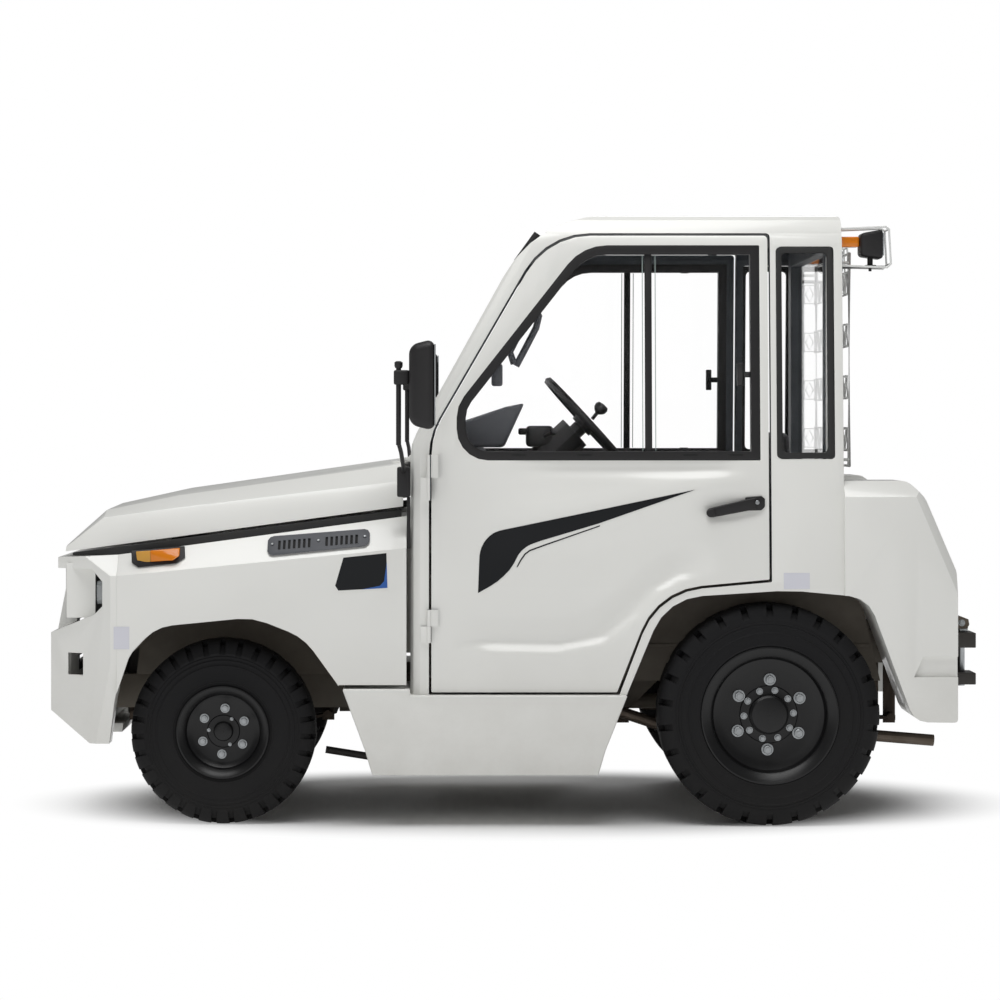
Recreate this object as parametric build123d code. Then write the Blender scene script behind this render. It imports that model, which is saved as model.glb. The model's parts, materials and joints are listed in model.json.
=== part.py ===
from build123d import *
import math
import os

os.makedirs("parts", exist_ok=True)

# Airport baggage tug with a closed cab, in millimetres.
# +X runs to the rear, +Y to the vehicle's right, +Z up from the floor.
# The origin is on the floor, below the middle of the length and width.

# Main sizes along the vehicle
front_overhang = 555.0
wheelbase = 1740.0
nose_length = 225.0
cab_setback = 1154.0
cab_length = 1376.0
tail_length = 357.0
coupler_reach = 163.0
body_width = 1400.0

# Wheels
front_tyre_diameter = 590.0
front_tyre_width = 175.0
front_tyre_lugs = 23
front_rim_diameter = 254.0
front_track = 1080.0
rear_tyre_diameter = 705.0
rear_tyre_width = 215.0
rear_tyre_lugs = 22
rear_rim_diameter = 381.0
rear_track = 1132.0
front_rim_inset = 46.0
rear_rim_inset = 50.0
hub_boss = 30.0
lug_depth = 14.0
groove_drop = 50.0
rim_sides = 15

# Running gear
rail_gap = 410.0
rail_width = 60.0
rail_depth = 110.0
rail_wall = 8.0
rail_bottom_z = 342.0
rear_rail_rise = 148.0
kingpin_span = 790.0
kingpin_radius = 17.0
knuckle_height = 124.0
steering_arm = 130.0
brake_drum_radius = 94.0
tie_rod_radius = 11.0
spring_width = 52.0
leaf_thickness = 9.0
front_spring_length = 640.0
rear_spring_length = 884.0
axle_tube_radius = 48.0
differential_radius = 118.0
rear_drum_radius = 128.0

# Side sills
sill_width_over = 1424.0
sill_bottom_z = 164.0
sill_crease_z = 246.0
sill_depth = 300.0

# Cab
cab_half_low = 686.0
cab_half_belt = 662.0
cab_half_roof = 614.0
flare_z = 760.0
belt_z = 1162.0
roof_rise = 60.0
eave_drop = 85.0
cab_wall = 45.0
pillar_width = 59.0
pillar_radius = 40.0
windscreen_slope = 1.8
windscreen_foot_z = 1215.0
roof_front_radius = 380.0
door_bottom_z = 428.0
door_top_z = 1887.0
rear_pillar_width = 230.0
door_gap = 8.0
flare_height = 9.0
hinge_y = 694.0
hinge_radius = 7.0
door_hinges_z = ((585.0, 690.0), (1036.0, 1180.0))
floor_thickness = 16.0
bench_top_z = 775.0
glass_thickness = 6.0
door_frame_width = 29.0

# Front body
front_panel_wall = 18.0
bevel_width = 98.0
bevel_front_width = 64.3
crease_front_z = 797.0
crease_back_z = 885.0
bevel_front_z = 862.0
bevel_back_z = 984.0
fender_bottom_z = 452.0
liner_thickness = 12.0
nose_bottom_z = 263.0
nose_chamfer_x = 205.0
nose_chamfer_y = 140.0
hood_front_z = 870.0
hood_back_z = 1015.0
hood_hinge_z = 1162.0
hood_hinge_y = 320.0
hood_hinge_radius = 8.0
hood_wall = 12.0

# Rear body
deck_half = 430.0
rear_fender_top_z = 1097.0
rear_fender_bottom_z = 333.0
rear_fender_wall = 16.0
shoulder_width = 50.0
deck_drop = 42.0

# Arcs are drawn as straight runs no longer than this turn, and no further than this from the curve
arc_step = 0.53
arc_depth = 1.8

# Derived stations
overall_length = cab_setback + cab_length + tail_length + coupler_reach
nose_x = -overall_length / 2
front_axle_x = nose_x + front_overhang
rear_axle_x = front_axle_x + wheelbase
nose_back_x = nose_x + nose_length
cab_front_x = nose_x + cab_setback
cab_back_x = cab_front_x + cab_length
door_front_x = cab_front_x + pillar_width
door_rear_x = cab_back_x - rear_pillar_width
tail_x = cab_back_x + tail_length
coupler_end_x = overall_length / 2
body_half = body_width / 2
front_wheel_z = front_tyre_diameter / 2
rear_wheel_z = rear_tyre_diameter / 2
rail_inner_y = rail_gap / 2
rail_outer_y = rail_inner_y + rail_width
kingpin_y = kingpin_span / 2
sill_top_z = door_bottom_z - door_gap
rail_top_z = rail_bottom_z + rail_depth
roof_z = door_top_z + roof_rise
eave_z = roof_z - eave_drop
window_top_z = door_top_z - 39
quarter_top_z = door_top_z - 43


def rounded(points, radii):
    """The points of a closed outline with its corners rounded by short straight runs."""
    if not radii:
        return points
    radii = radii if isinstance(radii, list) else [radii] * len(points)
    result = []
    for i, (point, radius) in enumerate(zip(points, radii)):
        if not radius:
            result.append(point)
            continue
        corner = Vector(*point)
        before = (Vector(*points[i - 1]) - corner).normalized()
        after = (Vector(*points[(i + 1) % len(points)]) - corner).normalized()
        turn = math.pi - math.acos(before.dot(after))
        centre = corner + (before + after).normalized() * (radius / math.cos(turn / 2))
        start = corner + before * (radius * math.tan(turn / 2)) - centre
        swing = math.copysign(turn, before.cross(after).Z * -1)
        runs = math.ceil(turn / min(arc_step,
            2 * math.acos(1 - arc_depth / radius))) if radius > arc_depth else 1
        for k in range(runs + 1):
            a = swing * k / runs
            result.append((centre.X + start.X * math.cos(a) - start.Y * math.sin(a),
                           centre.Y + start.X * math.sin(a) + start.Y * math.cos(a)))
    return result


def outline_face(points, radii=0):
    return make_face(Polyline(*rounded(points, radii), close=True))


def xz_face(points, y, radii=0):
    """A face in a plane of constant Y, from (x, z) points with rounded corners."""
    return Plane(origin=(0, y, 0), x_dir=(1, 0, 0), z_dir=(0, -1, 0)) * outline_face(points, radii)


def xz_prism(points, y_low, y_high, radii=0):
    return extrude(xz_face(points, y_high, radii), y_high - y_low)


def yz_prism(points, x_low, x_high, radii=0):
    plane = Plane(origin=(x_low, 0, 0), x_dir=(0, 1, 0), z_dir=(1, 0, 0))
    return extrude(plane * outline_face(points, radii), x_high - x_low)


def xy_prism(points, z_low, z_high, radii=0):
    plane = Plane(origin=(0, 0, z_low), x_dir=(1, 0, 0), z_dir=(0, 0, 1))
    return extrude(plane * outline_face(points, radii), z_high - z_low)


def block(low, high):
    """A box from its lowest and highest corners."""
    size = [b - a for a, b in zip(low, high)]
    middle = [(a + b) / 2 for a, b in zip(low, high)]
    return Pos(*middle) * Box(*size)


def rod(start, end, radius, sides=8):
    """A straight bar between two points: round with no sides given, else a polygon across its corners."""
    a, b = Vector(*start), Vector(*end)
    plane = Plane(origin=a, z_dir=b - a)
    outline = RegularPolygon(radius, sides) if sides else Circle(radius)
    return extrude(plane * outline, (b - a).length)


def facet_ring(profile, sides):
    """A ring about the Y axis, with flat facets, from (radius, y) points off the axis."""
    faces = []
    for i in range(sides):
        a0, a1 = 2 * math.pi * i / sides, 2 * math.pi * (i + 1) / sides
        for (r0, y0), (r1, y1) in zip(profile, profile[1:] + profile[:1]):
            corners = [(r0 * math.sin(a0), y0, r0 * math.cos(a0)), (r1 * math.sin(a0), y1,
                r1 * math.cos(a0)),
                       (r1 * math.sin(a1), y1, r1 * math.cos(a1)), (r0 * math.sin(a1), y0,
                           r0 * math.cos(a1))]
            faces.append(Face(Wire.make_polygon([Vector(*c) for c in corners], close=True)))
    ring = Solid(Shell(faces))
    return ring if ring.volume > 0 else Solid(Shell([-f for f in faces]))


def facet_loft(stations):
    """A solid through (x, outline) stations of (y, z) points, with flat triangles between them."""
    return solid_through([[Vector(x, y, z) for y, z in outline] for x, outline in stations])


def solid_through(rings):
    """A solid through rings with as many points each, with flat triangles between them."""
    faces = [Face(Wire.make_polygon(rings[0][::-1], close=True)), Face(Wire.make_polygon(rings[-1],
        close=True))]
    for near, far in zip(rings, rings[1:]):
        for i in range(len(near)):
            k = (i + 1) % len(near)
            for corners in ((near[i], near[k], far[k]), (near[i], far[k], far[i])):
                faces.append(Face(Wire.make_polygon(list(corners), close=True)))
    body = Solid(Shell(faces))
    return body if body.volume > 0 else Solid(Shell([-f for f in faces]))


def beyond(point, normal):
    """Everything past a plane, as a large block to cut away."""
    return Plane(origin=point, z_dir=normal) * Pos(0, 0, 2000) * Box(8000, 8000, 4000)


def round_edge(shape, point, normal_a, normal_b, radius, steps=2):
    """Rounds a long convex edge by flat strips: the edge passes a point, between faces of two normals."""
    a, b = Vector(*normal_a).normalized(), Vector(*normal_b).normalized()
    centre = Vector(*point) - (a + b) * (radius / (1 + a.dot(b)))
    for i in range(1, steps + 1):
        share = i / (steps + 1)
        normal = (a * (1 - share) + b * share).normalized()
        shape -= beyond(tuple(centre + normal * radius), tuple(normal))
    return shape


def other_side(shape):
    return mirror(shape, about=Plane.XZ)


def both_sides(shape):
    return Compound(children=[shape, other_side(shape)])


def save(shape, name):
    solids = [s for s in shape.solids()]
    whole = solids[0] if len(solids) == 1 else Compound(children=solids)
    export_step(whole, f"parts/{name}.step")


# Wheels

def tyre(diameter, width, rim_diameter, lugs):
    """A lug tyre about the Y axis, outer side towards -Y."""
    radius = diameter / 2
    half = width / 2
    bead = rim_diameter / 2 / math.cos(math.pi / lugs)
    wall = radius - 56
    profile = [
        (bead, -half + 18), (wall - 10, -half), (radius - 26, -half + 5), (radius, -half + 20),
        (radius, half - 20), (radius - 26, half - 5), (wall - 10, half), (bead, half - 18),
    ]
    body = facet_ring(profile, lugs)
    groove = 2 * math.pi * radius / lugs * 0.34
    reach = width * 0.32
    section = [(-half - 1, radius - groove_drop), (-half - 1, radius + 5), (-half + reach, radius + 5)]
    cutter = yz_prism(section, -groove / 2, groove / 2)
    slots = []
    for i in range(lugs):
        slots.append(Rot(0, (i + 0.5) * 360 / lugs, 0) * cutter)
        slots.append(Rot(0, i * 360 / lugs, 0) * other_side(cutter))
    return body - slots


def rim(rim_diameter, width, hub_radius, hub_height, flange_depth):
    """A pressed disc wheel about the Y axis, with its hub, outer side towards -Y."""
    bead = rim_diameter / 2 - 0.3
    half = width / 2
    flange = bead + 14
    disc = bead - 24
    face = -half + flange_depth
    hub = face - hub_height
    bore = 6.0
    profile = [
        (bore, hub), (hub_radius, hub), (hub_radius, face), (disc, face), (bead - 7,
            -half + 26), (flange - 4, -half - 1),
        (flange, -half + 5), (bead, -half + 18), (bead, half - 18),
        (bead - 8, half - 18), (bead - 8, -half + 36), (disc, face + 10), (hub_radius, face + 10),
        (hub_radius, face + hub_boss), (bore, face + hub_boss),
    ]
    cap = rod((0, hub, 0), (0, face + hub_boss, 0), bore + 1)
    return facet_ring(profile, rim_sides) + cap


def place_wheel(shape, x, y, z, side):
    """Puts a wheel that faces -Y at its hub, turned round for the right side."""
    turned = shape if side < 0 else Rot(0, 0, 180) * shape
    return Pos(x, y, z) * turned


front_tyre = tyre(front_tyre_diameter, front_tyre_width, front_rim_diameter, front_tyre_lugs)
rear_tyre = tyre(rear_tyre_diameter, rear_tyre_width, rear_rim_diameter, rear_tyre_lugs)
front_rim = rim(front_rim_diameter, front_tyre_width, 42, 22, front_rim_inset)
rear_rim = rim(rear_rim_diameter, rear_tyre_width, 62, 34, rear_rim_inset)

for side, label in ((-1, "left"), (1, "right")):
    front_at = (front_axle_x, side * front_track / 2, front_wheel_z, side)
    rear_at = (rear_axle_x, side * rear_track / 2, rear_wheel_z, side)
    save(place_wheel(front_tyre, *front_at), f"front_tyre_{label}")
    save(place_wheel(front_rim, *front_at), f"front_rim_{label}")
    save(place_wheel(rear_tyre, *rear_at), f"rear_tyre_{label}")
    save(place_wheel(rear_rim, *rear_at), f"rear_rim_{label}")


# Chassis frame

nose_wall = 42.0
nose_flange = 20.0
rail_front_x = nose_x + nose_wall + nose_flange
rear_plate_x = tail_x - 14
rail_back_x = rear_plate_x - 16
kick_x = rear_axle_x - 420
kick_run = 150.0
outrigger_x = [cab_front_x + 70, cab_front_x + 470]


def rail_outline(inset):
    """The (x, z) outline of a frame rail, with its rise over the rear axle."""
    low = rail_bottom_z + inset
    high = rail_top_z - inset
    return [
        (rail_front_x - inset, low), (kick_x + inset / 2, low), (kick_x + kick_run + inset / 2,
            low + rear_rail_rise),
        (rail_back_x + inset, low + rear_rail_rise), (rail_back_x + inset, high + rear_rail_rise),
        (kick_x + kick_run - inset / 2, high + rear_rail_rise), (kick_x - inset / 2,
            high), (rail_front_x - inset, high),
    ]


def chassis_frame():
    """Two channel rails, the tubes between them, the sill outriggers and the rear plate."""
    solid = xz_prism(rail_outline(0), rail_inner_y, rail_outer_y)
    hollow = xz_prism(rail_outline(rail_wall), rail_inner_y - 1, rail_outer_y - rail_wall)
    rail = solid - hollow
    frame = rail + other_side(rail)
    cross_x = [rail_front_x + 45, front_axle_x + 400, cab_front_x + 470, rear_axle_x + 260]
    for x in cross_x:
        rise = rear_rail_rise if x > kick_x + kick_run else 0
        z = rail_bottom_z + rail_depth / 2 + rise
        reach = rail_outer_y - rail_wall + 1
        tube = block((x - 30, -reach, z - 30), (x + 30, reach, z + 30))
        bore = block((x - 24, -reach - 1, z - 24), (x + 24, reach + 1, z + 24))
        frame += tube - bore
    for x in outrigger_x:
        for side in (-1, 1):
            y0, y1 = sorted((side * (rail_outer_y - 2), side * (sill_width_over / 2 - sill_depth)))
            frame += block((x - 25, y0, rail_top_z - 48), (x + 25, y1, rail_top_z - 20))
    plate_low = rail_bottom_z + rear_rail_rise - 90
    frame += block((rail_back_x - 0.5, -deck_half, plate_low), (rear_plate_x, deck_half, plate_low + 220))
    return frame


save(chassis_frame(), "chassis_frame")


# Front axle, knuckles and tie rod

beam_low_z = front_wheel_z - 88
beam_high_z = front_wheel_z - 34
beam = xz_prism(
    [(front_axle_x - 32, beam_low_z), (front_axle_x + 32, beam_low_z), (front_axle_x + 32, beam_low_z + 12),
     (front_axle_x + 8, beam_low_z + 18), (front_axle_x + 8, beam_high_z - 18), (front_axle_x + 32,
         beam_high_z - 12),
     (front_axle_x + 32, beam_high_z), (front_axle_x - 32, beam_high_z), (front_axle_x - 32,
         beam_high_z - 12),
     (front_axle_x - 8, beam_high_z - 18), (front_axle_x - 8, beam_low_z + 18), (front_axle_x - 32,
         beam_low_z + 12)],
    -kingpin_y + 100, kingpin_y - 100)
boss_half = knuckle_height / 2 - 30
boss = rod((front_axle_x, kingpin_y, front_wheel_z - boss_half), (front_axle_x, kingpin_y,
    front_wheel_z + boss_half), 32)
gooseneck = yz_prism(
    [(kingpin_y - 112, beam_low_z), (kingpin_y - 112, beam_high_z), (kingpin_y - 64,
        front_wheel_z + boss_half - 4),
     (kingpin_y - 10, front_wheel_z + boss_half - 4), (kingpin_y - 10, front_wheel_z - boss_half + 4),
     (kingpin_y - 50, front_wheel_z - boss_half + 4)],
    front_axle_x - 22, front_axle_x + 22)
kingpin_bore = Pos(front_axle_x, kingpin_y, front_wheel_z) * Cylinder(kingpin_radius + 0.05, 300)
neck = (boss + gooseneck) - kingpin_bore
front_axle = beam + neck + other_side(neck)
save(front_axle, "front_axle")


def knuckle(side):
    """A forked steering knuckle with its kingpin, spindle and steering arm."""
    top = front_wheel_z + knuckle_height / 2
    low = front_wheel_z - knuckle_height / 2
    ear_thickness = 30 - 1.0
    pin = Pos(front_axle_x, kingpin_y, front_wheel_z) * Cylinder(kingpin_radius, knuckle_height)
    web = yz_prism(
        [(kingpin_y + 33, low), (kingpin_y + 47, low), (kingpin_y + 47, top), (kingpin_y + 33, top)],
        front_axle_x - 30, front_axle_x + 30)
    fork_top = block((front_axle_x - 30, kingpin_y - 27, top - ear_thickness), (front_axle_x + 30,
        kingpin_y + 34, top))
    fork_low = block((front_axle_x - 30, kingpin_y - 27, low), (front_axle_x + 30, kingpin_y + 34,
        low + ear_thickness))
    hub_y = front_track / 2 + front_tyre_width / 2 - front_rim_inset - hub_boss
    spindle = rod((front_axle_x, kingpin_y + 40, front_wheel_z), (front_axle_x, hub_y - 0.3,
        front_wheel_z), 24)
    drum_y = front_track / 2
    spindle += rod((front_axle_x, kingpin_y + 46, front_wheel_z), (front_axle_x, drum_y, front_wheel_z),
        brake_drum_radius, 16)
    arm_z = low + 10
    arm = xy_prism(
        [(front_axle_x, kingpin_y - 22), (front_axle_x + steering_arm, kingpin_y - 18),
         (front_axle_x + steering_arm, kingpin_y + 18), (front_axle_x, kingpin_y + 22)],
        low, low + 16)
    arm_end = rod((front_axle_x + steering_arm, kingpin_y, low), (front_axle_x + steering_arm, kingpin_y,
        low + 16), 19)
    eye = Pos(front_axle_x + steering_arm, kingpin_y, arm_z) * rod((0, 0, -30), (0, 0, 30),
        8.05 / math.cos(math.pi / 10), 10)
    whole = pin + web + fork_top + fork_low + spindle + arm + arm_end - eye
    return whole if side > 0 else other_side(whole)


save(knuckle(-1), "knuckle_left")
save(knuckle(1), "knuckle_right")

arm_pin_y = kingpin_y
tie_rod_z = front_wheel_z - knuckle_height / 2 - 16
tie_bar = rod(
    (front_axle_x + steering_arm, -arm_pin_y, tie_rod_z), (front_axle_x + steering_arm, arm_pin_y,
        tie_rod_z),
    tie_rod_radius)
tie_ends = []
for side in (-1, 1):
    ball = rod((front_axle_x + steering_arm, side * arm_pin_y, tie_rod_z - 14),
        (front_axle_x + steering_arm, side * arm_pin_y, tie_rod_z + 14), 18)
    stud = Pos(front_axle_x + steering_arm, side * arm_pin_y, tie_rod_z + 6) * rod((0, 0, 0), (0, 0, 32), 8)
    tie_ends += [ball, stud]
save(tie_bar + tie_ends, "tie_rod")


# Rear axle

axle_flange_y = rear_track / 2 + rear_tyre_width / 2 - rear_rim_inset - hub_boss - 0.3
rear_axle = rod(
    (rear_axle_x, -axle_flange_y, rear_wheel_z), (rear_axle_x, axle_flange_y,
        rear_wheel_z), axle_tube_radius, 12)
banjo = [(20, -95), (differential_radius - 30, -95), (differential_radius, 0), (differential_radius - 30,
    95), (20, 95)]
housing = Rot(0, 0, 90) * facet_ring([(r, y * 0.9) for r, y in banjo], 12)
rear_axle += Pos(rear_axle_x, 0, rear_wheel_z) * housing
rear_axle += rod((rear_axle_x, 0, rear_wheel_z), (rear_axle_x - 190, 0, rear_wheel_z), 52)
for side in (-1, 1):
    drum_inner = (rear_axle_x, side * (axle_flange_y - 110), rear_wheel_z)
    drum_outer = (rear_axle_x, side * (axle_flange_y - 14), rear_wheel_z)
    rear_axle += rod(drum_inner, drum_outer, rear_drum_radius, 12)
save(rear_axle, "rear_axle")


# Leaf springs

def leaf_spring(centre_x, seat_z, half, sag, leaves, hanger_top_front, hanger_top_back):
    """A stack of curved leaves with rolled eyes and its two hangers."""
    y0 = rail_inner_y + 4
    y1 = y0 + spring_width
    shares = (-1, -0.5, 0, 0.5, 1)
    main_z = seat_z + (leaves - 1) * leaf_thickness
    top = [(k * half, main_z + sag * k * k + leaf_thickness) for k in shares]
    steps = []
    for i in range(leaves):
        k = 1 - 0.2 * i
        z = main_z + sag * k * k - i * leaf_thickness
        steps += [(k * half, z + leaf_thickness), (k * half, z)] if i else [(k * half, z)]
    under = [(x, z) for x, z in steps] + [(-x, z) for x, z in reversed(steps)]
    outline = [(centre_x + x, z) for x, z in top[1:-1] + [top[-1]] + under + [top[0]]]
    stack = xz_prism(outline, y0, y1) + block((centre_x - 40, y0, seat_z), (centre_x + 40, y1, main_z))
    eye_z = seat_z + (leaves - 1) * leaf_thickness + sag + leaf_thickness / 2
    for end, hanger_top in ((-1, hanger_top_front), (1, hanger_top_back)):
        x = centre_x + end * half
        stack += rod((x, y0, eye_z), (x, y1, eye_z), 16, 6)
        stack += block((x - 20, y0 - 8, eye_z - 22), (x + 20, y0, hanger_top))
    return stack


front_spring = leaf_spring(front_axle_x, beam_high_z, front_spring_length / 2, 34, 3, rail_bottom_z,
    rail_bottom_z)
rear_seat_z = rear_wheel_z - axle_tube_radius - 4 * leaf_thickness
rear_spring = leaf_spring(
    rear_axle_x, rear_seat_z, rear_spring_length / 2, 8, 4, rail_bottom_z, rail_bottom_z + rear_rail_rise)
springs = [front_spring, other_side(front_spring), rear_spring, other_side(rear_spring)]
save(Compound(children=springs), "leaf_springs")


# Engine, a plain block between the rails, and the shaft to the rear axle
engine_front_x = rail_front_x + 145
engine_back_x = front_axle_x + 350
engine = block((engine_front_x, -190, rail_bottom_z - 30), (engine_back_x, 190, rail_bottom_z + 460))
engine += block((engine_front_x + 140, -150, rail_bottom_z + 450), (engine_back_x - 130, 150,
    rail_bottom_z + 560))
for x in (engine_front_x + 120, engine_back_x - 120):
    for y0 in (-rail_outer_y + 10, 180):
        engine += block((x - 35, y0, rail_top_z), (x + 35, y0 + rail_outer_y - 190, rail_top_z + 22))
save(engine, "engine")
shaft_z = rail_bottom_z - 12
pinion_x = rear_axle_x - 190
shaft = rod((engine_back_x - 20, 0, shaft_z), (pinion_x + 20, 0, rear_wheel_z - 10), 26, 12)
shaft &= block((engine_back_x, -60, 0), (pinion_x, 60, 600))
save(shaft, "drive_shaft")

# Radiator behind the grille
radiator_x = nose_x + nose_wall + 42
radiator = block((radiator_x, -rail_outer_y, rail_top_z), (radiator_x + 60, rail_outer_y, rail_top_z + 330))
save(radiator, "radiator")


# Front arch, shared by the body panels and the liners
front_arch = [
    (nose_back_x - 28, 200.0), (nose_back_x - 8, 400.0), (nose_back_x + 42, 548.0), (front_axle_x - 205,
        636.0),
    (front_axle_x + 100, 666.0), (front_axle_x + 262, 602.0), (front_axle_x + 372, fender_bottom_z - 2),
    (front_axle_x + 415, 347.0), (front_axle_x + 440, 200.0),
]
front_arch_radii = [0, 0, 60, 140, 200, 180, 60, 0, 0]


def side_section(crease, bevel, width, wall):
    """A (y, z) outline of the front side panel, with its bevel of one width and the lip under the hood."""
    low = fender_bottom_z - 170
    return [
        (body_half, low), (body_half, crease), (body_half - width, bevel),
        (body_half - width - 34, bevel), (body_half - width - 34, bevel - wall),
        (body_half - width - 4, bevel - wall), (body_half - wall, crease - wall / 2), (body_half - wall,
            low),
    ]


def along(x, x0, z0, x1, z1):
    return z0 + (z1 - z0) * (x - x0) / (x1 - x0)


fender_end_x = cab_front_x - 12
side_panel = facet_loft([
    (nose_back_x, side_section(crease_front_z, bevel_front_z, bevel_front_width, front_panel_wall)),
    (fender_end_x, side_section(crease_back_z, bevel_back_z, bevel_width, front_panel_wall)),
])
side_panel -= xz_prism(front_arch, 0, body_half + 20, front_arch_radii)
side_panel -= block((front_axle_x + 372, 0, 0), (fender_end_x + 10, body_half + 20, fender_bottom_z))
save(both_sides(side_panel), "front_fenders")


# Nose casting
crease_rise = (crease_back_z - crease_front_z) / (fender_end_x - nose_back_x)
bevel_rise = (bevel_back_z - bevel_front_z) / (fender_end_x - nose_back_x)
nose_top_front_z = bevel_front_z - 10
nose_profile = [
    (nose_x, 361.0), (nose_x, 612.0), (nose_x + 25, 741.0), (nose_x + 25, nose_top_front_z),
    (nose_back_x, bevel_front_z), (nose_back_x, 437.0), (nose_back_x - 8, 400.0), (nose_back_x - 26,
        nose_bottom_z),
    (nose_x + 134, nose_bottom_z),
]
nose = xz_prism(nose_profile, -body_half, body_half)
plan = [
    (nose_x - 1, -body_half + nose_chamfer_y), (nose_x, -body_half + nose_chamfer_y),
    (nose_x + nose_chamfer_x, -body_half), (nose_back_x + 1, -body_half), (nose_back_x + 1, body_half),
    (nose_x + nose_chamfer_x, body_half), (nose_x, body_half - nose_chamfer_y), (nose_x - 1,
        body_half - nose_chamfer_y),
]
nose &= xy_prism(plan, 0, 1200)
section = [
    (-body_half, 0), (body_half, 0), (body_half, crease_front_z), (body_half - bevel_front_width,
        bevel_front_z),
    (body_half - bevel_front_width, 1200), (-body_half + bevel_front_width, 1200),
    (-body_half + bevel_front_width, bevel_front_z), (-body_half, crease_front_z),
]
nose &= yz_prism(section, nose_x - 5, nose_back_x + 5)
for side in (-1, 1):
    nose -= beyond((nose_back_x, side * body_half, 515), (0, side, -0.135))
grille_half = 330.0
nose_cavity = [
    (rail_front_x, rail_bottom_z - 1), (rail_front_x, bevel_front_z - 26), (nose_back_x + 5,
        bevel_front_z - 26),
    (nose_back_x + 5, nose_bottom_z + 29), (nose_x + 150, nose_bottom_z + 29)]
nose -= xz_prism(nose_cavity, -body_half + 110, body_half - 110)
for side in (-1, 1):
    y0, y1 = sorted((side * (rail_outer_y + 20), side * (body_half - 110)))
    nose -= block((rail_front_x + 20, y0, nose_bottom_z - 5), (nose_back_x + 5, y1, 310))
nose -= block((nose_x - 5, -grille_half, 470), (nose_x + nose_wall + 40, grille_half, bevel_front_z - 60))
lamp_pocket = xz_prism(
    [(nose_x - 10, 606.0), (nose_x + 150, 672.0), (nose_x + 178, 700.0), (nose_x + 178, 778.0),
     (nose_x + 142, 818.0), (nose_x - 10, 816.0)],
    grille_half + 50, body_half + 5)
tie_down = block((nose_x + 60, body_half - 160, 478), (nose_x + 112, body_half + 5, 548))
nose -= [lamp_pocket, other_side(lamp_pocket), tie_down, other_side(tie_down)]
save(nose, "nose_casting")

# Radiator grille with its slats
grille_low_z, grille_high_z = 470.0, bevel_front_z - 60
grille_front_x = nose_x + nose_wall
grille_frame = block((grille_front_x, -grille_half, grille_low_z), (grille_front_x + 20, grille_half,
    grille_high_z))
slat_pitch = 40.0
slat_count = int((grille_high_z - grille_low_z - 30) // slat_pitch)
slots = []
for i in range(slat_count):
    z = grille_low_z + 25 + i * slat_pitch
    slots.append(block(
        (grille_front_x - 5, -grille_half + 25, z), (grille_front_x + 25, grille_half - 25,
            z + slat_pitch * 0.55)))
save(grille_frame - slots, "grille")

# Headlamps at the back of their pockets
lamp_y0, lamp_y1 = grille_half + 60, body_half - 92
lamp_back_x = nose_x + 178
headlamp = block((lamp_back_x - 26, lamp_y0, 703), (lamp_back_x, lamp_y1, 776))
headlamp = chamfer(headlamp.edges().filter_by(Axis.X), 14)
save(both_sides(headlamp), "headlamps")


# Inner fenders: the wheel arch lining and its inner wall
liner_arch = [(x, z) for x, z in front_arch]
liner_outer = xz_prism(
    [(nose_back_x + 34, 562.0), (front_axle_x - 210, 650.0), (front_axle_x + 102, 680.0),
     (front_axle_x + 274, 612.0), (front_axle_x + 384, fender_bottom_z), (front_axle_x + 384,
         fender_bottom_z - 2),
     (front_axle_x + 372, fender_bottom_z - 2)] +
    [(front_axle_x + 262, 602.0), (front_axle_x + 100, 668.0), (front_axle_x - 205, 638.0),
        (nose_back_x + 44, 551.0)],
    rail_outer_y + 8, body_half - front_panel_wall)
wall_outline = [
    (nose_back_x + 20, rail_bottom_z + rail_depth), (nose_back_x + 32, 560.0), (front_axle_x - 210, 650.0),
    (front_axle_x + 102, 680.0), (front_axle_x + 274, 612.0), (front_axle_x + 384,
        rail_bottom_z + rail_depth)]
liner_wall = xz_prism(wall_outline, rail_outer_y, rail_outer_y + 8)
save(both_sides(liner_outer + liner_wall), "inner_fenders")


# Hood

hood_back_x = cab_front_x - 24
hood_tip_x = nose_x + 50
hood_mid_x = front_axle_x - 150
hood_knee_x = nose_x + 170
edge_y = body_half - bevel_width + 2


def hood_station(x, side_in, crease_in, crease_up, crown_in, crown_up, top_up):
    """A (y, z) outline of the hood's sheet: the outer skin from right to left, and the inner one back."""
    low = along(x, hood_tip_x, hood_front_z, hood_back_x, hood_back_z)
    skin = [(edge_y - side_in, low), (edge_y - crease_in, low + crease_up), (edge_y - crown_in,
        low + crown_up),
            (0, low + top_up)]
    skin += [(-y, z) for y, z in reversed(skin[:-1])]
    inner = [(y - math.copysign(min(hood_wall, abs(y)), y), z - hood_wall * (z > low)) for y, z in skin]
    return x, skin + inner[::-1]


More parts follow.
